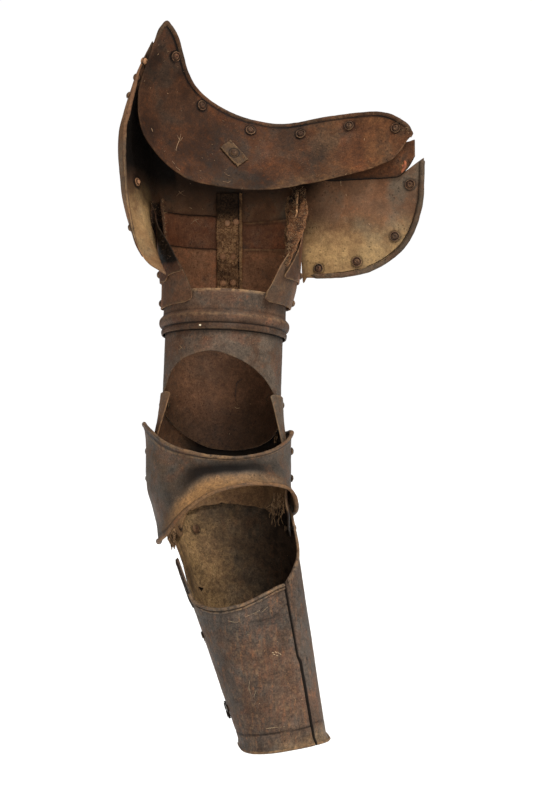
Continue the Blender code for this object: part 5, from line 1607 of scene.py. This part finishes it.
us, ts = grid(np.linspace(0, 1, 50), np.linspace(0, 1, 170))
level = -26.4 + (-120.6 + 26.4) * ts
x = -17.2 + ragged(level, 0.8, 101, 8) + (24.4 - ragged(level, 0.7, 103, 9) - ragged(level, 0.8, 101, 8)) * us
centre_outer = np.stack([x, column(CENTER_LEATHER, 0, 1, level) - 0.0078 * (x + 4) ** 2, level], -1)
centre_outer[..., 1] -= 0.35 * rough(centre_outer, 6, 8, 3)


def centre_masks(p, side, near, on):
    u, z = on(us), on(level)
    edge = step(0.9, 0.93, u)
    holes = step(0.1, 0.5, rough(p, 7, 44, 3))
    return {
        "wear": 0.45 * hump(-55, 14, z) + 0.5 * hump(-84, 9, z) + 0.3 * step(-0.1, 0.5, rough(p, 11, 22, 3)),
        "ochre": 0.6 * edge * step(-0.5, 0.1, rough(p, 5, 61, 2)),
        # Dirt in the holes, painted shadow of the crest over the strap's upper part, and a near-black line beside the
        # pale edge.
        "dark": 0.6 * holes * (hump(-96, 12, z) + 0.5 * hump(-66, 9, z)) * (1 - edge) + 0.9 * step(-62, -44, z) * (1 - 0.5 * edge) + 0.75 * hump(0.885, 0.025, u),
    }


face, face_n = leather("center_leather", centre_outer, (0, 1, 0), LEATHER_LOOK, 105, centre_masks, None)
fuzz = Build()
nap(fuzz, face, face_n, 650, 1.9, 201, keep=(level < -46) & (us < 0.97))
# Thread down the strap's right edge.
for z in np.arange(-49, -119, -3.4):
    t = np.linspace(0, 1, 6)
    x = 5.1 + 0.25 * np.sin(z)
    y = column(CENTER_LEATHER, 0, 1, z - t * 2.3) - 0.0078 * (x + 4) ** 2 - LEATHER - 0.35 * np.sin(np.pi * t)
    tube(fuzz, np.stack([x + 0.25 * t, y, z - t * 2.3], -1), 0.26, 5, seed=3)

SIDE_OUT = {
    "left_leather": (((-120, -3.4, 10.4, 61.8, 58.3), (-97, -3.0, 9.0, 63.2, 58.8), (-80, -3.0, 8.0, 64.0, 58.9), (-30, -3.0, 6.0, 69.0, 60.5)), 268, 279, -42, -106, LEATHER_SHADED),
    "right_leather": (((-120, -3.4, 10.4, 61.8, 58.3), (-97, -3.0, 9.0, 63.2, 58.8), (-80, -3.0, 8.0, 64.0, 58.9), (-30, -3.0, 6.0, 66.5, 60.5)), 88, 121, -34, -84, LEATHER_LOOK),
}
for name, (table, first, last, high, low_z, look) in SIDE_OUT.items():
    us, ts = grid(np.linspace(0, 1, 24), np.linspace(0, 1, 110))
    level = high + (low_z - high) * ts
    a = first + (last - first) * (us + 0.05 * np.sin(level / 4.1) * us + 0.04 * (wander(level, 7, 111) * (us - 0.5)))
    outer = lame_at(table, a, level)
    heart = np.stack([0 * level - 3.0, 0 * level + 8.0, level], -1)
    outer = outer + unit(heart - outer) * (LAME + 0.9)

    def side_masks(p, side, near, on, level=level, name=name):
        return {
            "wear": 0.55 * step(-0.1, 0.5, rough(p, 8, 51, 3)) + 0.5 * np.exp(-near / 1.5),
            # Random patches, and painted shade over the right leather's upper part and over all of the left leather.
            "dark": 0.6 * step(0.15, 0.5, rough(p, 6, 57, 3)) + (0.5 * step(-52, -38, on(level)) if name == "right_leather" else 0.25),
        }

    toward = (1, 0, 0) if name == "right_leather" else (-1, 0, 0)
    face, face_n = leather(name, outer, toward, look, 107, side_masks, None)
    nap(fuzz, face, face_n, 380 if name == "right_leather" else 150, 2.6, 203)
# A leather flap filling the slot beside the narrow wing, in the darker suede and darker still lower down, as painted
# shade.
slot_leather, slot_hair = Build(), Build()
us, ts = grid(np.linspace(0, 1, 14), np.linspace(0, 1, 70))
level = -43 - 59 * ts
line = np.interp(-level, (43, 60, 75, 90, 102), (-76.0, -76.0, -74.0, -68.5, -64.0))
flap = np.stack([line + us * 9.0 + 0.6 * wander(level, 6, 121), 3.0 + 9.0 * us + 0.8 * rough(np.stack([us * 9, 0 * us, level], -1), 5, 9, 2), level], -1)
flap_face, flap_n = shell(slot_leather, flap, 1.6, (0, -1, 0), masks=lambda p, side, near, on: {"wear": 0.45 * np.exp(-near / 1.4) * step(-66, -50, p[:, 2]), "dark": 0.55 * (1 - step(-62, -48, p[:, 2]))}, hammer=0.0, fine=0.35, seed=123)
slot_leather.make("left_leather_flap", "pauldron", LEATHER_SHADED, slot="leather")
nap(fuzz, flap_face[:, :26], flap_n[:, :26], 90, 1.6, 205)
torn_leather = Build()
us, ts = grid(np.linspace(0, 1, 30), np.linspace(0, 1, 90))
seen_row = 189 + 76 * ts
left_at = np.interp(seen_row, (189, 200, 215, 230, 245, 265), (292.5, 289.5, 288.5, 288.0, 287.5, 283.5))
right_at = np.interp(seen_row, (189, 200, 215, 230, 245, 265), (304.5, 307.0, 307.5, 303.5, 297.0, 288.0))
left_at = left_at + 1.0 * wander(seen_row, 6, 131)
right_at = right_at + 1.1 * wander(seen_row, 5, 132)
column_at = left_at + (right_at - left_at) * us
depth = np.interp(seen_row, (189, 212, 225, 238, 250, 265), (12.0, 2.0, -6.0, -17.0, -27.0, -33.0)) + 12.0 * (1 - us) - 2.5 * np.sin(np.pi * us)
scale = 0.93 * (1250 + depth) / 1250
front = np.stack([31.2 + (column_at - 266.5) * scale, depth, -227.9 - (seen_row - 400) * scale], -1)
front = front + 1.1 * rough(front, 7, 133, 3)[..., None] * np.array((0.2, -1.0, 0.1))


def torn_masks(p, side, near, on):
    return {
        "wear": 0.5 * step(-0.2, 0.4, rough(p, 7, 134, 3)) + 0.5 * np.exp(-near / 1.2),
        # Random patches, and painted shadow over the upper part.
        "dark": 0.55 * step(0.16, 0.46, rough(p * (1, 1, 0.6), 6, 135, 3)) + 0.75 * step(-46, -34, p[:, 2]),
        "ochre": 0.4 * step(0.1, 0.5, rough(p, 5, 137, 2)),
    }


torn_face, torn_n = shell(torn_leather, front, 1.3, (0, -1, 0), masks=torn_masks, hammer=0.0, fine=0.5, seed=136)
torn_leather.make("right_leather_torn_face", "pauldron", LEATHER_TORN, slot="leather")
nap(fuzz, torn_face, torn_n, 520, 2.3, 207, thick=0.15, curl=0.9)
upper_face = lame_faces["upper_pauldron_lame"]
dim = (upper_face[0][..., 0] < -50) & (upper_face[0][..., 2] > -100) & (upper_face[0][..., 1] < 6)
nap(slot_hair, *upper_face, 110, 2.4, 209, keep=dim)
slot_hair.make("left_leather_hair", "pauldron", plain_fibre("fibre_dark", srgb(92, 68, 46), srgb(40, 27, 18)), slot="leather")
fuzz.make("leather_fibres", "pauldron", FIBRE, slot="leather")

# ---------------------------------------------------------------- rivets
def rivet(name, body, at, normal, grip, head=3.4, rise=1.9, tail=2.8, tail_rise=1.2, shank=1.5, washer=0.0, look=None, seed=0, dimple=0.0):
    """A rivet: a beaten dome outside, its shank, and its peened end inside, on a washer or not."""
    g = 0.12
    head_profile = [(0, rise + g), (head * 0.45, rise * 0.93 + g), (head * 0.8, rise * 0.55 + g), (head, g + 0.35), (head * 0.97, g), (shank, g)]
    low = -grip - g
    if washer:
        inner = [(shank, low), (washer * 0.98, low), (washer, low - 0.6), (washer * 0.93, low - 1.05), (washer * 0.8, low - 1.05), (washer * 0.72, low - 0.5), (tail * 1.02, low - 0.5)]
        low -= 0.55
    else:
        inner = [(shank, low), (tail, low), (tail, low - 0.3)]
    inner += [(tail * 0.9, low - tail_rise * 0.6), (tail * 0.5, low - tail_rise), (tail * 0.25, low - tail_rise * (1 - dimple)), (0, low - tail_rise * (1 - dimple))]
    place = framed(at, normal, 0.7 * seed)
    _, x, y, z = place
    base = np.asarray(at, float)

    def masks(p):
        d = p - base
        r = np.hypot(d @ x, d @ y)
        h = d @ z
        ring_shade = hump(washer * 0.72, 0.42, r) * (h < -grip) if washer else 0.0
        hole = 0.75 * hump(0, tail * 0.22, r) * (h < -grip) * (dimple > 0)
        rim = hump(washer or tail, 0.5, r) * 0.4
        # Painted shade in the crease round the washer's dome and in the dimple; a worn rim.
        return {"dark": 0.85 * ring_shade + hole, "wear": 0.3 * (1 - ring_shade) * step(-0.2, 0.5, rough(p, 2.5, seed + 3, 2)) + rim, "red": 0.3 * (rough(p, 5, seed + 7, 1) > 0.2)}

    build = Build()
    lathe(build, place, head_profile + inner, 22, masks=masks, beaten=0.055, seed=seed + 1, fine=3)
    return build.make(name + "_look", body, look or RIVET_IRON, name, slot="rivet_iron")


for k, (number, station, across) in enumerate(CREST_RIVETS):
    spot, normal = crest_at(np.float64(station), np.float64(across))
    rivet(f"crest_rivet_{number}", "pauldron", spot, normal, PLATE + 0.1, 3.0, 1.5, 2.7, 2.1, washer=4.6, seed=k, dimple=0.35)
for k, (name, a, z) in enumerate(WING_RIVETS):
    spot, normal = main_at(np.float64(a), np.float64(z)), main_normal(np.float64(a), np.float64(z))
    washer = 0.0 if name in ("left_1", "left_2", "left_3", "left_5") else 3.6 if name == "left_4" else 4.7
    rivet(f"wing_rivet_{name}", "pauldron", spot, normal, PLATE + 0.1, 3.2, 1.9, 2.7, 2.2, washer=washer, seed=10 + k, dimple=0.35, look=RIVET_PALE if name in ("left_1", "left_4") else None)


def lame_normal(table, angle, z):
    a = lame_at(table, angle + 1, z) - lame_at(table, angle - 1, z)
    b = lame_at(table, angle, z - 1) - lame_at(table, angle, z + 1)
    return unit(np.cross(b, a))


for k, (name, table, angle, z, grip) in enumerate(
    (
        ("left_upper", UPPER_LAME, 272, -111.0, LAME + 2.6),
        ("right_upper", UPPER_LAME, 88, -112.0, LAME + 2.6),
        ("left_lower", LOWER_LAME, 270, -137.5, LAME + 4.0),
        ("right_lower", LOWER_LAME, 90, -137.5, LAME + 6.6),
    )
):
    spot, normal = lame_at(table, np.float64(angle), np.float64(z)), lame_normal(table, np.float64(angle), np.float64(z))
    if normal.dot(spot - np.array((-4, 9, z))) < 0:
        normal = -normal
    rivet(f"lame_rivet_{name}", "pauldron", spot, normal, grip, 3.4, 2.2, seed=20 + k)
for k, (number, x, z, y, _) in enumerate(STRAP_RIVETS):
    deep = min(column(CENTER_LEATHER, 0, 1, z + dz) - 0.0078 * (x + dx + 4) ** 2 for dx in (-3.1, 3.1) for dz in (-3.1, 3.1)) - LEATHER
    rivet(f"strap_rivet_{number}", "pauldron", np.array((x, y, z)), np.array((0, 1.0, 0)), y - deep, 3.2, 1.6, 3.1, 1.7, seed=30 + k, look=RIVET_PALE)
for k, (name, axis, outward, x, grip, _) in enumerate(PIVOT_RIVETS):
    _, y, z = PIVOTS[axis]
    body = {"cannon": "elbow_upper_lame", "upper": "couter", "lower": "couter", "forearm": "lower_cannon"}[axis]
    rivet(name, body, np.array((x, y, z)), np.array((float(outward), 0, 0)), grip, 3.8, 2.4, 3.0, 1.6, shank=2.0, seed=40 + k, look=RIVET_DARK)
spot = shell_at(np.float64(219), np.float64(25.0))
rivet("forearm_rivet", "lower_cannon", spot, forearm.outward(np.float64(-141)), PLATE, 2.6, 1.0, 4.2, 1.7, seed=55, look=WASHER_IRON)

# The strap's washer on the crest: an oblong plate with nicked corners, dished round its rivet.
spot, normal = crest_at(np.float64(4.86), np.float64(0.51))
inner = -normal
LIFT = 1.3
facing = Vector(inner).to_track_quat("Z", "Y").to_matrix()
turn = np.radians(38)
ax = np.array(facing @ Vector((np.cos(turn), np.sin(turn), 0)))
ay = np.array(facing @ Vector((-np.sin(turn), np.cos(turn), 0)))
us, vs = grid(np.linspace(-1, 1, 38), np.linspace(-1, 1, 60))
nick = 0.9 * np.exp(-(((np.abs(us) - 1) / 0.22) ** 2 + ((np.abs(vs) - 0.8) / 0.06) ** 2)) + 0.55 * np.exp(-(((np.abs(us) - 0.72) / 0.1) ** 2 + ((np.abs(vs) - 1) / 0.1) ** 2))
ux = us * (6.5 - nick * 1.0 - 0.25 * (wander(vs * 12, 5, 3) + 0.5))
uy = vs * (12.5 - 0.35 * (wander(us * 6 + 40, 4, 5) + 0.5) - 0.8 * nick)
dome = 0.5 * hump(0, 4.6, np.hypot(ux, uy)) + 0.25 * rough(np.stack([ux, uy, 0 * ux], -1), 7, 4, 2)
base = spot + inner * (PLATE + LIFT - 0.35)
plate = base + ux[..., None] * ax + uy[..., None] * ay + (1.5 + dome)[..., None] * inner
washer_plate = Build()


def washer_masks(p, side, near, on):
    r = on(np.hypot(ux, uy))
    # Painted shade in the ring round the rivet, with darker nicks and a darker back.
    return {"wear": 0.4 * np.exp(-near / 0.8) + 0.12 * step(-0.2, 0.4, rough(p, 4, 6, 3)), "dark": 0.28 + 0.7 * hump(4.9, 0.5, r) + 0.5 * on((np.abs(np.abs(us) - 0.72) < 0.09) & (np.abs(np.abs(vs) - 0.8) < 0.05)) + 0.25 * (side > 0.4), "ochre": 0.1}


shell(washer_plate, plate, 1.4, inner, masks=washer_masks, hammer=0.12, cell=6, seed=6, fine=0.07)
washer_plate.make("strap_washer_look", "pauldron", WASHER_IRON, "strap_washer", slot="rusted_iron")
rivet("strap_washer_rivet", "pauldron", spot, normal, PLATE + LIFT + 1.4, 3.6, 1.8, 3.3, 2.0, seed=60, look=WASHER_IRON, dimple=0.2)


# ---------------------------------------------------------------- marks, dust and fibres
EYE = np.array((31.2, -1250.0, -227.9))
PIXEL = 0.93


def seen_at(p):
    """Where a point in mm is seen in the 533 by 800 view."""
    k = PIXEL * (1250 + p[..., 1]) / 1250
    return np.stack([266.5 + (p[..., 0] - EYE[0]) / k, 400 - (p[..., 2] - EYE[2]) / k], -1)


def lay(surface, spots, lift=0.12):
    """Points of a surface (its points and normals) that are seen at the given places."""
    p, n = (v.reshape(-1, 3) for v in surface)
    facing_us = n[:, 1] < -0.02
    p, n = p[facing_us], n[facing_us]
    seen = seen_at(p)
    out = []
    for spot in spots:
        d = ((seen - spot) ** 2).sum(-1)
        close = np.argsort(d)[:4]
        w = 1 / (d[close] + 0.02)
        w /= w.sum()
        out.append((p[close] * w[:, None]).sum(0) + lift * unit((n[close] * w[:, None]).sum(0)))
    return np.array(out)


def inner_of(made, wall):
    outer, n = made
    return outer - wall * n, -n


def stroke(build, surface, spots, width, seed=1):
    path = lay(surface, spots)
    t = np.linspace(0, len(path) - 1, 5 * len(path))
    path = through(path, t)
    tube(build, path, width * (0.55 + 0.45 * np.sin(np.pi * np.linspace(0.05, 0.95, len(path)))), 6, seed=seed, wobble=0.35)


def litter(build, surface, count, seed, size=(0.5, 1.8), keep=None, thick=0.16):
    """Bits of straw and dust lying on a face."""
    r = np.random.default_rng(seed)
    p, n = (v.reshape(-1, 3) for v in surface)
    if keep is not None:
        chosen = np.flatnonzero(np.asarray(keep).reshape(-1))
        p, n = p[chosen], n[chosen]
    for k in r.integers(0, len(p), count):
        way = unit(np.cross(n[k], r.normal(0, 1, 3)))
        length = r.uniform(*size) ** 1.3
        t = np.linspace(-0.5, 0.5, 5)[:, None]
        path = p[k] + n[k] * (0.1 + 0.25 * t**2) + way * length * t + unit(r.normal(0, 1, 3)) * 0.25 * length * t**2
        tube(build, path, thick * r.uniform(0.6, 1.5) * (1 - 1.2 * t[:, 0] ** 2), 4, seed=seed, wobble=0.2)


marks, dust = Build(), Build()
crest_in, main_in = inner_of(crest_face, PLATE), inner_of(main_face, PLATE)
upper_in, lower_in = inner_of(lame_faces["upper_pauldron_lame"], LAME), inner_of(lame_faces["lower_pauldron_lame"], LAME)
for spots, width in (
    (((181, 134), (179.5, 140), (177, 146), (176, 151)), 0.24),
    (((177, 135), (179.5, 140)), 0.2),
    (((183, 137.5), (180, 141)), 0.16),
    (((151.5, 128), (152.5, 131.5)), 0.3),
    (((172, 161), (175, 164)), 0.25),
    (((176, 167), (180, 170.5)), 0.22),
    (((224, 172), (227, 175), (230, 175.5)), 0.16),
    (((223, 181.5), (228, 182.5), (231, 181)), 0.22),
):
    stroke(marks, crest_in, spots, width)
for spots, width in (
    (((191, 224), (195, 220.5), (199, 219)), 0.3),
    (((194, 218), (197, 222), (200.5, 225)), 0.26),
    (((203, 268), (206, 266)), 0.25),
):
    stroke(marks, upper_in if spots[0][1] < 246 else lower_in, spots, width)
for spots, width in (
    (((176, 196), (180, 193), (184, 190.5)), 0.2),
    (((178, 190.5), (181, 194), (185, 196)), 0.2),
    (((189.5, 207), (191.5, 209)), 0.35),
    (((236.5, 196.5), (237.5, 199)), 0.3),
    (((340.5, 178), (341, 186)), 0.28),
    (((346, 194), (346.6, 196.5)), 0.4),
    (((368.5, 223.4), (369.5, 224.4)), 0.45),
):
    stroke(marks, main_in, spots, width)
scab = Build()
neck_in = inner_of(neck_face, LAME)
for spots, width in ((((404.6, 161), (405, 165), (403.6, 169), (401.6, 172.5)), 1.25), (((402.6, 165), (403.2, 168)), 1.1)):
    stroke(scab, neck_in, spots, width * 1.25, seed=8)
scab.make("rust_scab", "pauldron", plain_fibre("rust_scab", srgb(150, 82, 46), srgb(84, 42, 22)), slot="brown_iron")
marks.make("marks_shoulder", "pauldron", SCRATCH, slot="rusted_iron")
litter(dust, crest_in, 46, 301, keep=None)
litter(dust, upper_in, 34, 303, (0.4, 1.3))
litter(dust, lower_in, 40, 304, (0.4, 1.3))
litter(dust, main_in, 60, 305, (0.4, 1.4))
# Pale dust caked at the crest's far tip.
tip = crest_in[0][(seen_at(crest_in[0]) - (404, 123))[..., 0] ** 2 + (seen_at(crest_in[0]) - (404, 123))[..., 1] ** 2 < 70]
nap(dust, tip, np.broadcast_to((0.2, -0.6, 0.7), tip.shape), 120, 1.3, 311, thick=0.15)
white = Build()
stroke(white, collar_face, ((199.3, 324.8), (200.8, 325.2)), 0.75)
white.make("chip_on_collar", "pauldron", plain_fibre("white_chip", srgb(236, 226, 204), srgb(206, 190, 160)), slot="rusted_iron")
dust.make("dust_shoulder", "pauldron", FIBRE, slot="rusted_iron")

cannon_in = inner_of(cannon_face, PLATE)
bits = Build()
stroke(bits, cannon_in, ((234.5, 407), (237, 408.6), (239.5, 408)), 0.3)
stroke(bits, cannon_in, ((237, 403.5), (238.2, 405.5)), 0.25)
stroke(bits, cannon_face, ((179, 345), (182.5, 348.5)), 0.16)
stroke(bits, cannon_face, ((179.5, 350), (182, 346.5)), 0.16)
litter(bits, cannon_in, 26, 321, (0.4, 1.2))
bits.make("dust_cannon", "upper_cannon", FIBRE, slot="rusted_iron")
crack = Build()
stroke(crack, cannon_in, ((242.2, 379.2), (239.5, 380.8), (237, 383.2), (236.2, 388), (235.6, 394), (235.2, 400)), 0.42)
crack.make("crack_cannon", "upper_cannon", plain_fibre("crack", srgb(30, 19, 13), srgb(16, 10, 7)), slot="rusted_iron")
bits = Build()
for spots in (((272, 652.5), (274, 653.4)), ((275, 651.4), (276.6, 652.8)), ((277.6, 652.2), (279.5, 653.6)), ((273.5, 655), (275, 654.6)), ((280.5, 654), (281.2, 655.4)), ((276, 655.2), (278, 655.6))):
    stroke(bits, door_face, spots, 0.3)
for spots, width in (
    (((245, 617), (252, 614), (260, 610)), 0.1),
    (((262, 612), (268, 607)), 0.1),
    (((250, 680), (249, 688), (251, 694)), 0.13),
    (((256, 690), (254, 697)), 0.12),
    (((228, 621), (235, 622), (240, 621.5)), 0.13),
    (((266, 728.4), (274, 727.6), (285, 727)), 0.14),
):
    stroke(bits, door_face, spots, width)
litter(bits, door_face, 30, 331, (0.3, 0.9), thick=0.13)
bits.make("chips_door", "door", STRAW, slot="rusted_iron")
lower_in_face = inner_of(lower_face, PLATE)
bits = Build()
litter(bits, lower_in_face, 60, 341, (0.3, 1.1))
bits.make("dust_forearm", "lower_cannon", FIBRE, slot="rusted_iron")
# A torn, three-cornered hole in the back shell, its opening filled with a near-black dished sheet as painted shade.
corners = lay(lower_in_face, ((196.5, 586.0), (203.6, 587.2), (201.2, 591.6)), 0.06)
t = np.linspace(0, 1, 9)[:-1]
outline = np.concatenate([corners[k] + t[:, None] * (corners[(k + 1) % 3] - corners[k]) for k in range(3)])
outline = outline + 0.22 * np.stack([wander(np.arange(24) * 3.0, 5, 7 + k) for k in range(3)], -1)
hole = Build()
heart = outline.mean(0)
away = unit(EYE - heart)
tube(hole, outline, 0.42, 8, closed=True, lean=away, masks={"wear": 0.5, "ochre": 0.5}, seed=5)
loops = [outline * (1 - q) + heart * q + away * (0.12 - 0.0 * q) for q in (0, 0.35, 0.7, 0.97)]
k = np.arange(24)
faces = [np.stack([i * 24 + k, i * 24 + np.roll(k, -1), (i + 1) * 24 + np.roll(k, -1), (i + 1) * 24 + k], -1) for i in range(3)]
hole.add(np.concatenate(loops), faces, {"dark": 1.0})
hole.make("torn_hole", "lower_cannon", FOREARM_IRON, slot="rusted_iron")

# Fibres and a rag of lining that hang at the elbow.
elbow_in = inner_of(lame_faces["elbow_lower_lame"], LAME)
hairs = Build()
r = np.random.default_rng(351)
for _ in range(44):
    spot = (r.uniform(272, 286), r.uniform(493, 507))
    start = lay(elbow_in, [spot], 0.4)[0]
    size = r.uniform(4, 20)
    t = np.linspace(0, 1, 12)[:, None]
    sway = np.array((r.normal(0, 0.22), -abs(r.normal(0.12, 0.12)), 0))
    curl = np.stack([np.sin(t[:, 0] * r.uniform(2, 7) + r.uniform(0, 6)), np.cos(t[:, 0] * r.uniform(2, 7)), 0 * t[:, 0]], -1) * r.uniform(1.5, 4.6)
    tube(hairs, start + size * (np.array((0, 0, -1.0)) + sway) * t + curl * t + np.array((-1.0, -0.8, 0)) * t, 0.21 * (1.15 - 0.55 * t[:, 0]), 4, seed=1, wobble=0.1)


def rag(build, top, width, length, lean, seed, thick=0.9):
    """A torn tab that hangs from a point."""
    us, ts = grid(np.linspace(-0.5, 0.5, 12), np.linspace(0, 1, 30))
    wide = width * (1 - 0.35 * ts**2) + 0.5 * wander(ts * length + seed * 9, 3, seed)
    end = length * (1 - 0.12 * wander(us * width * 2 + seed, 1.2, seed + 1))
    p = np.asarray(top, float) + us[..., None] * wide[..., None] * np.array((0.8, 0.6, 0)) + (ts * end)[..., None] * unit(np.asarray(lean, float))
    p = p + (0.7 * np.sin(3 * ts + seed))[..., None] * np.array((0.3, -1.0, 0)) + 0.5 * np.stack([rough(p, 4, seed + k, 2) for k in range(3)], -1)
    return shell(build, p, thick, (0, 1, 0), masks=lambda q, side, near, on: {"wear": 0.3 + 0.5 * np.exp(-near / 0.8), "dark": 0.4 * step(0.0, 0.5, rough(q, 4, seed, 2))}, hammer=0.0, fine=0.2, seed=seed)


start = lay(elbow_in, [(287.5, 500)], 0.8)[0]
strip = Build()
rag(strip, start, 2.6, 10.5, (-0.12, -0.1, -1), 361, 0.7)
strip.make("rag_right", "elbow_lower_lame", RAG_LOOK, slot="leather")
hairs.make("fibres_right", "elbow_lower_lame", FIBRE, slot="leather")
tabs = Build()
for k, (px, py, width, length, lean) in enumerate(((171.0, 531, 5.2, 15.0, (0.12, -0.1, -1)), (167.5, 532, 4.2, 10.5, (0.3, -0.1, -1)), (174.5, 528, 3.4, 11.0, (0.05, -0.2, -1)))):
    at = np.array((EYE[0] + (px - 266.5) * PIXEL * 0.985, -19.0 - 2.0 * k, EYE[2] - (py - 400) * PIXEL * 0.985))
    rag(tabs, at, width, length, lean, 371 + k, 1.0)
tabs.make("rags_left", "elbow_lower_lame", RAG_LOOK, slot="leather")
torn = Build()
upper_elbow_in = inner_of(lame_faces["elbow_upper_lame"], LAME)
start = lay(upper_elbow_in, [(277.5, 433)], 0.7)[0]
rag(torn, start, 3.4, 8.5, (-0.28, -0.15, -1), 381, 0.8)
torn.make("rag_upper", "elbow_upper_lame", RAG_LOOK, slot="leather")

# ---------------------------------------------------------------- camera, floor and light
camera = bpy.data.objects.new("camera", bpy.data.cameras.new("camera"))
camera.location = (EYE[0] * MM, EYE[1] * MM, EYE[2] * MM)
camera.rotation_euler = (np.pi / 2, 0, 0)
camera.data.lens = 36 * 1250 / 744
camera.data.clip_end = 60
bpy.context.scene.collection.objects.link(camera)
bpy.context.scene.camera = camera


def floor():
    us, vs = grid(np.linspace(-9, 9, 37), np.linspace(-9, 9, 37))
    points = np.stack([us, vs, np.full_like(us, -0.8)], -1).reshape(-1, 3)
    a = np.arange(37 * 37).reshape(37, 37)
    faces = np.stack([a[:-1, :-1], a[1:, :-1], a[1:, 1:], a[:-1, 1:]], -1).reshape(-1, 4)
    mesh = bpy.data.meshes.new("floor")
    mesh.from_pydata(points.tolist(), [], faces.tolist())
    obj = bpy.data.objects.new("floor", mesh)
    bpy.context.scene.collection.objects.link(obj)
    g = Graph("pale_floor")
    g.put(g.shader.inputs["Base Color"], g.mix(g.span(g.noise(1.4, 2), 0.3, 0.7), (0.93, 0.93, 0.93, 1), (0.96, 0.96, 0.955, 1)))
    g.shader.inputs["Roughness"].default_value = 0.9
    g.shader.inputs["Specular IOR Level"].default_value = 0.1
    mesh.materials.append(g.material)


floor()

world = bpy.data.worlds.new("studio")
bpy.context.scene.world = world
world.use_nodes = True
tree = world.node_tree
tree.nodes.clear()
where = tree.nodes.new("ShaderNodeTexCoord")
apart = tree.nodes.new("ShaderNodeSeparateXYZ")
ramp = tree.nodes.new("ShaderNodeMapRange")
sky = tree.nodes.new("ShaderNodeBackground")
end = tree.nodes.new("ShaderNodeOutputWorld")
tree.links.new(where.outputs["Generated"], apart.inputs[0])
tree.links.new(apart.outputs[2], ramp.inputs["Value"])
for k, v in (("From Min", -0.05), ("From Max", 0.9), ("To Min", 0.3), ("To Max", 0.62)):
    ramp.inputs[k].default_value = v
sky.inputs["Color"].default_value = (1.0, 1.0, 1.0, 1)
backdrop = tree.nodes.new("ShaderNodeBackground")
backdrop.inputs["Color"].default_value = (1.0, 1.0, 1.0, 1)
backdrop.inputs["Strength"].default_value = 1.02
which = tree.nodes.new("ShaderNodeLightPath")
join = tree.nodes.new("ShaderNodeMixShader")
tree.links.new(ramp.outputs[0], sky.inputs["Strength"])
tree.links.new(which.outputs["Is Camera Ray"], join.inputs[0])
tree.links.new(sky.outputs[0], join.inputs[1])
tree.links.new(backdrop.outputs[0], join.inputs[2])
tree.links.new(join.outputs[0], end.inputs[0])


def softbox(name, place, at, size, power, colour=(1, 1, 1)):
    lamp = bpy.data.lights.new(name, "AREA")
    lamp.shape, lamp.size, lamp.size_y = "RECTANGLE", size[0], size[1]
    lamp.energy, lamp.color = power, colour
    obj = bpy.data.objects.new(name, lamp)
    obj.location = place
    obj.rotation_euler = (Vector(at) - Vector(place)).to_track_quat("-Z", "Y").to_euler()
    bpy.context.scene.collection.objects.link(obj)


sun = bpy.data.objects.new("key", bpy.data.lights.new("key", "SUN"))
sun.data.energy, sun.data.angle, sun.data.color = 3.4, np.radians(24), (1.0, 0.985, 0.955)
sun.rotation_euler = Vector((-0.42, 0.62, -0.95)).to_track_quat("-Z", "Y").to_euler()
bpy.context.scene.collection.objects.link(sun)
softbox("front", (0.5, -2.2, 0.25), (0.03, 0.0, -0.25), (1.6, 1.6), 16, (1.0, 0.99, 0.97))

bpy.context.scene.view_settings.view_transform = "Standard"
bpy.context.scene.view_settings.look = "None"
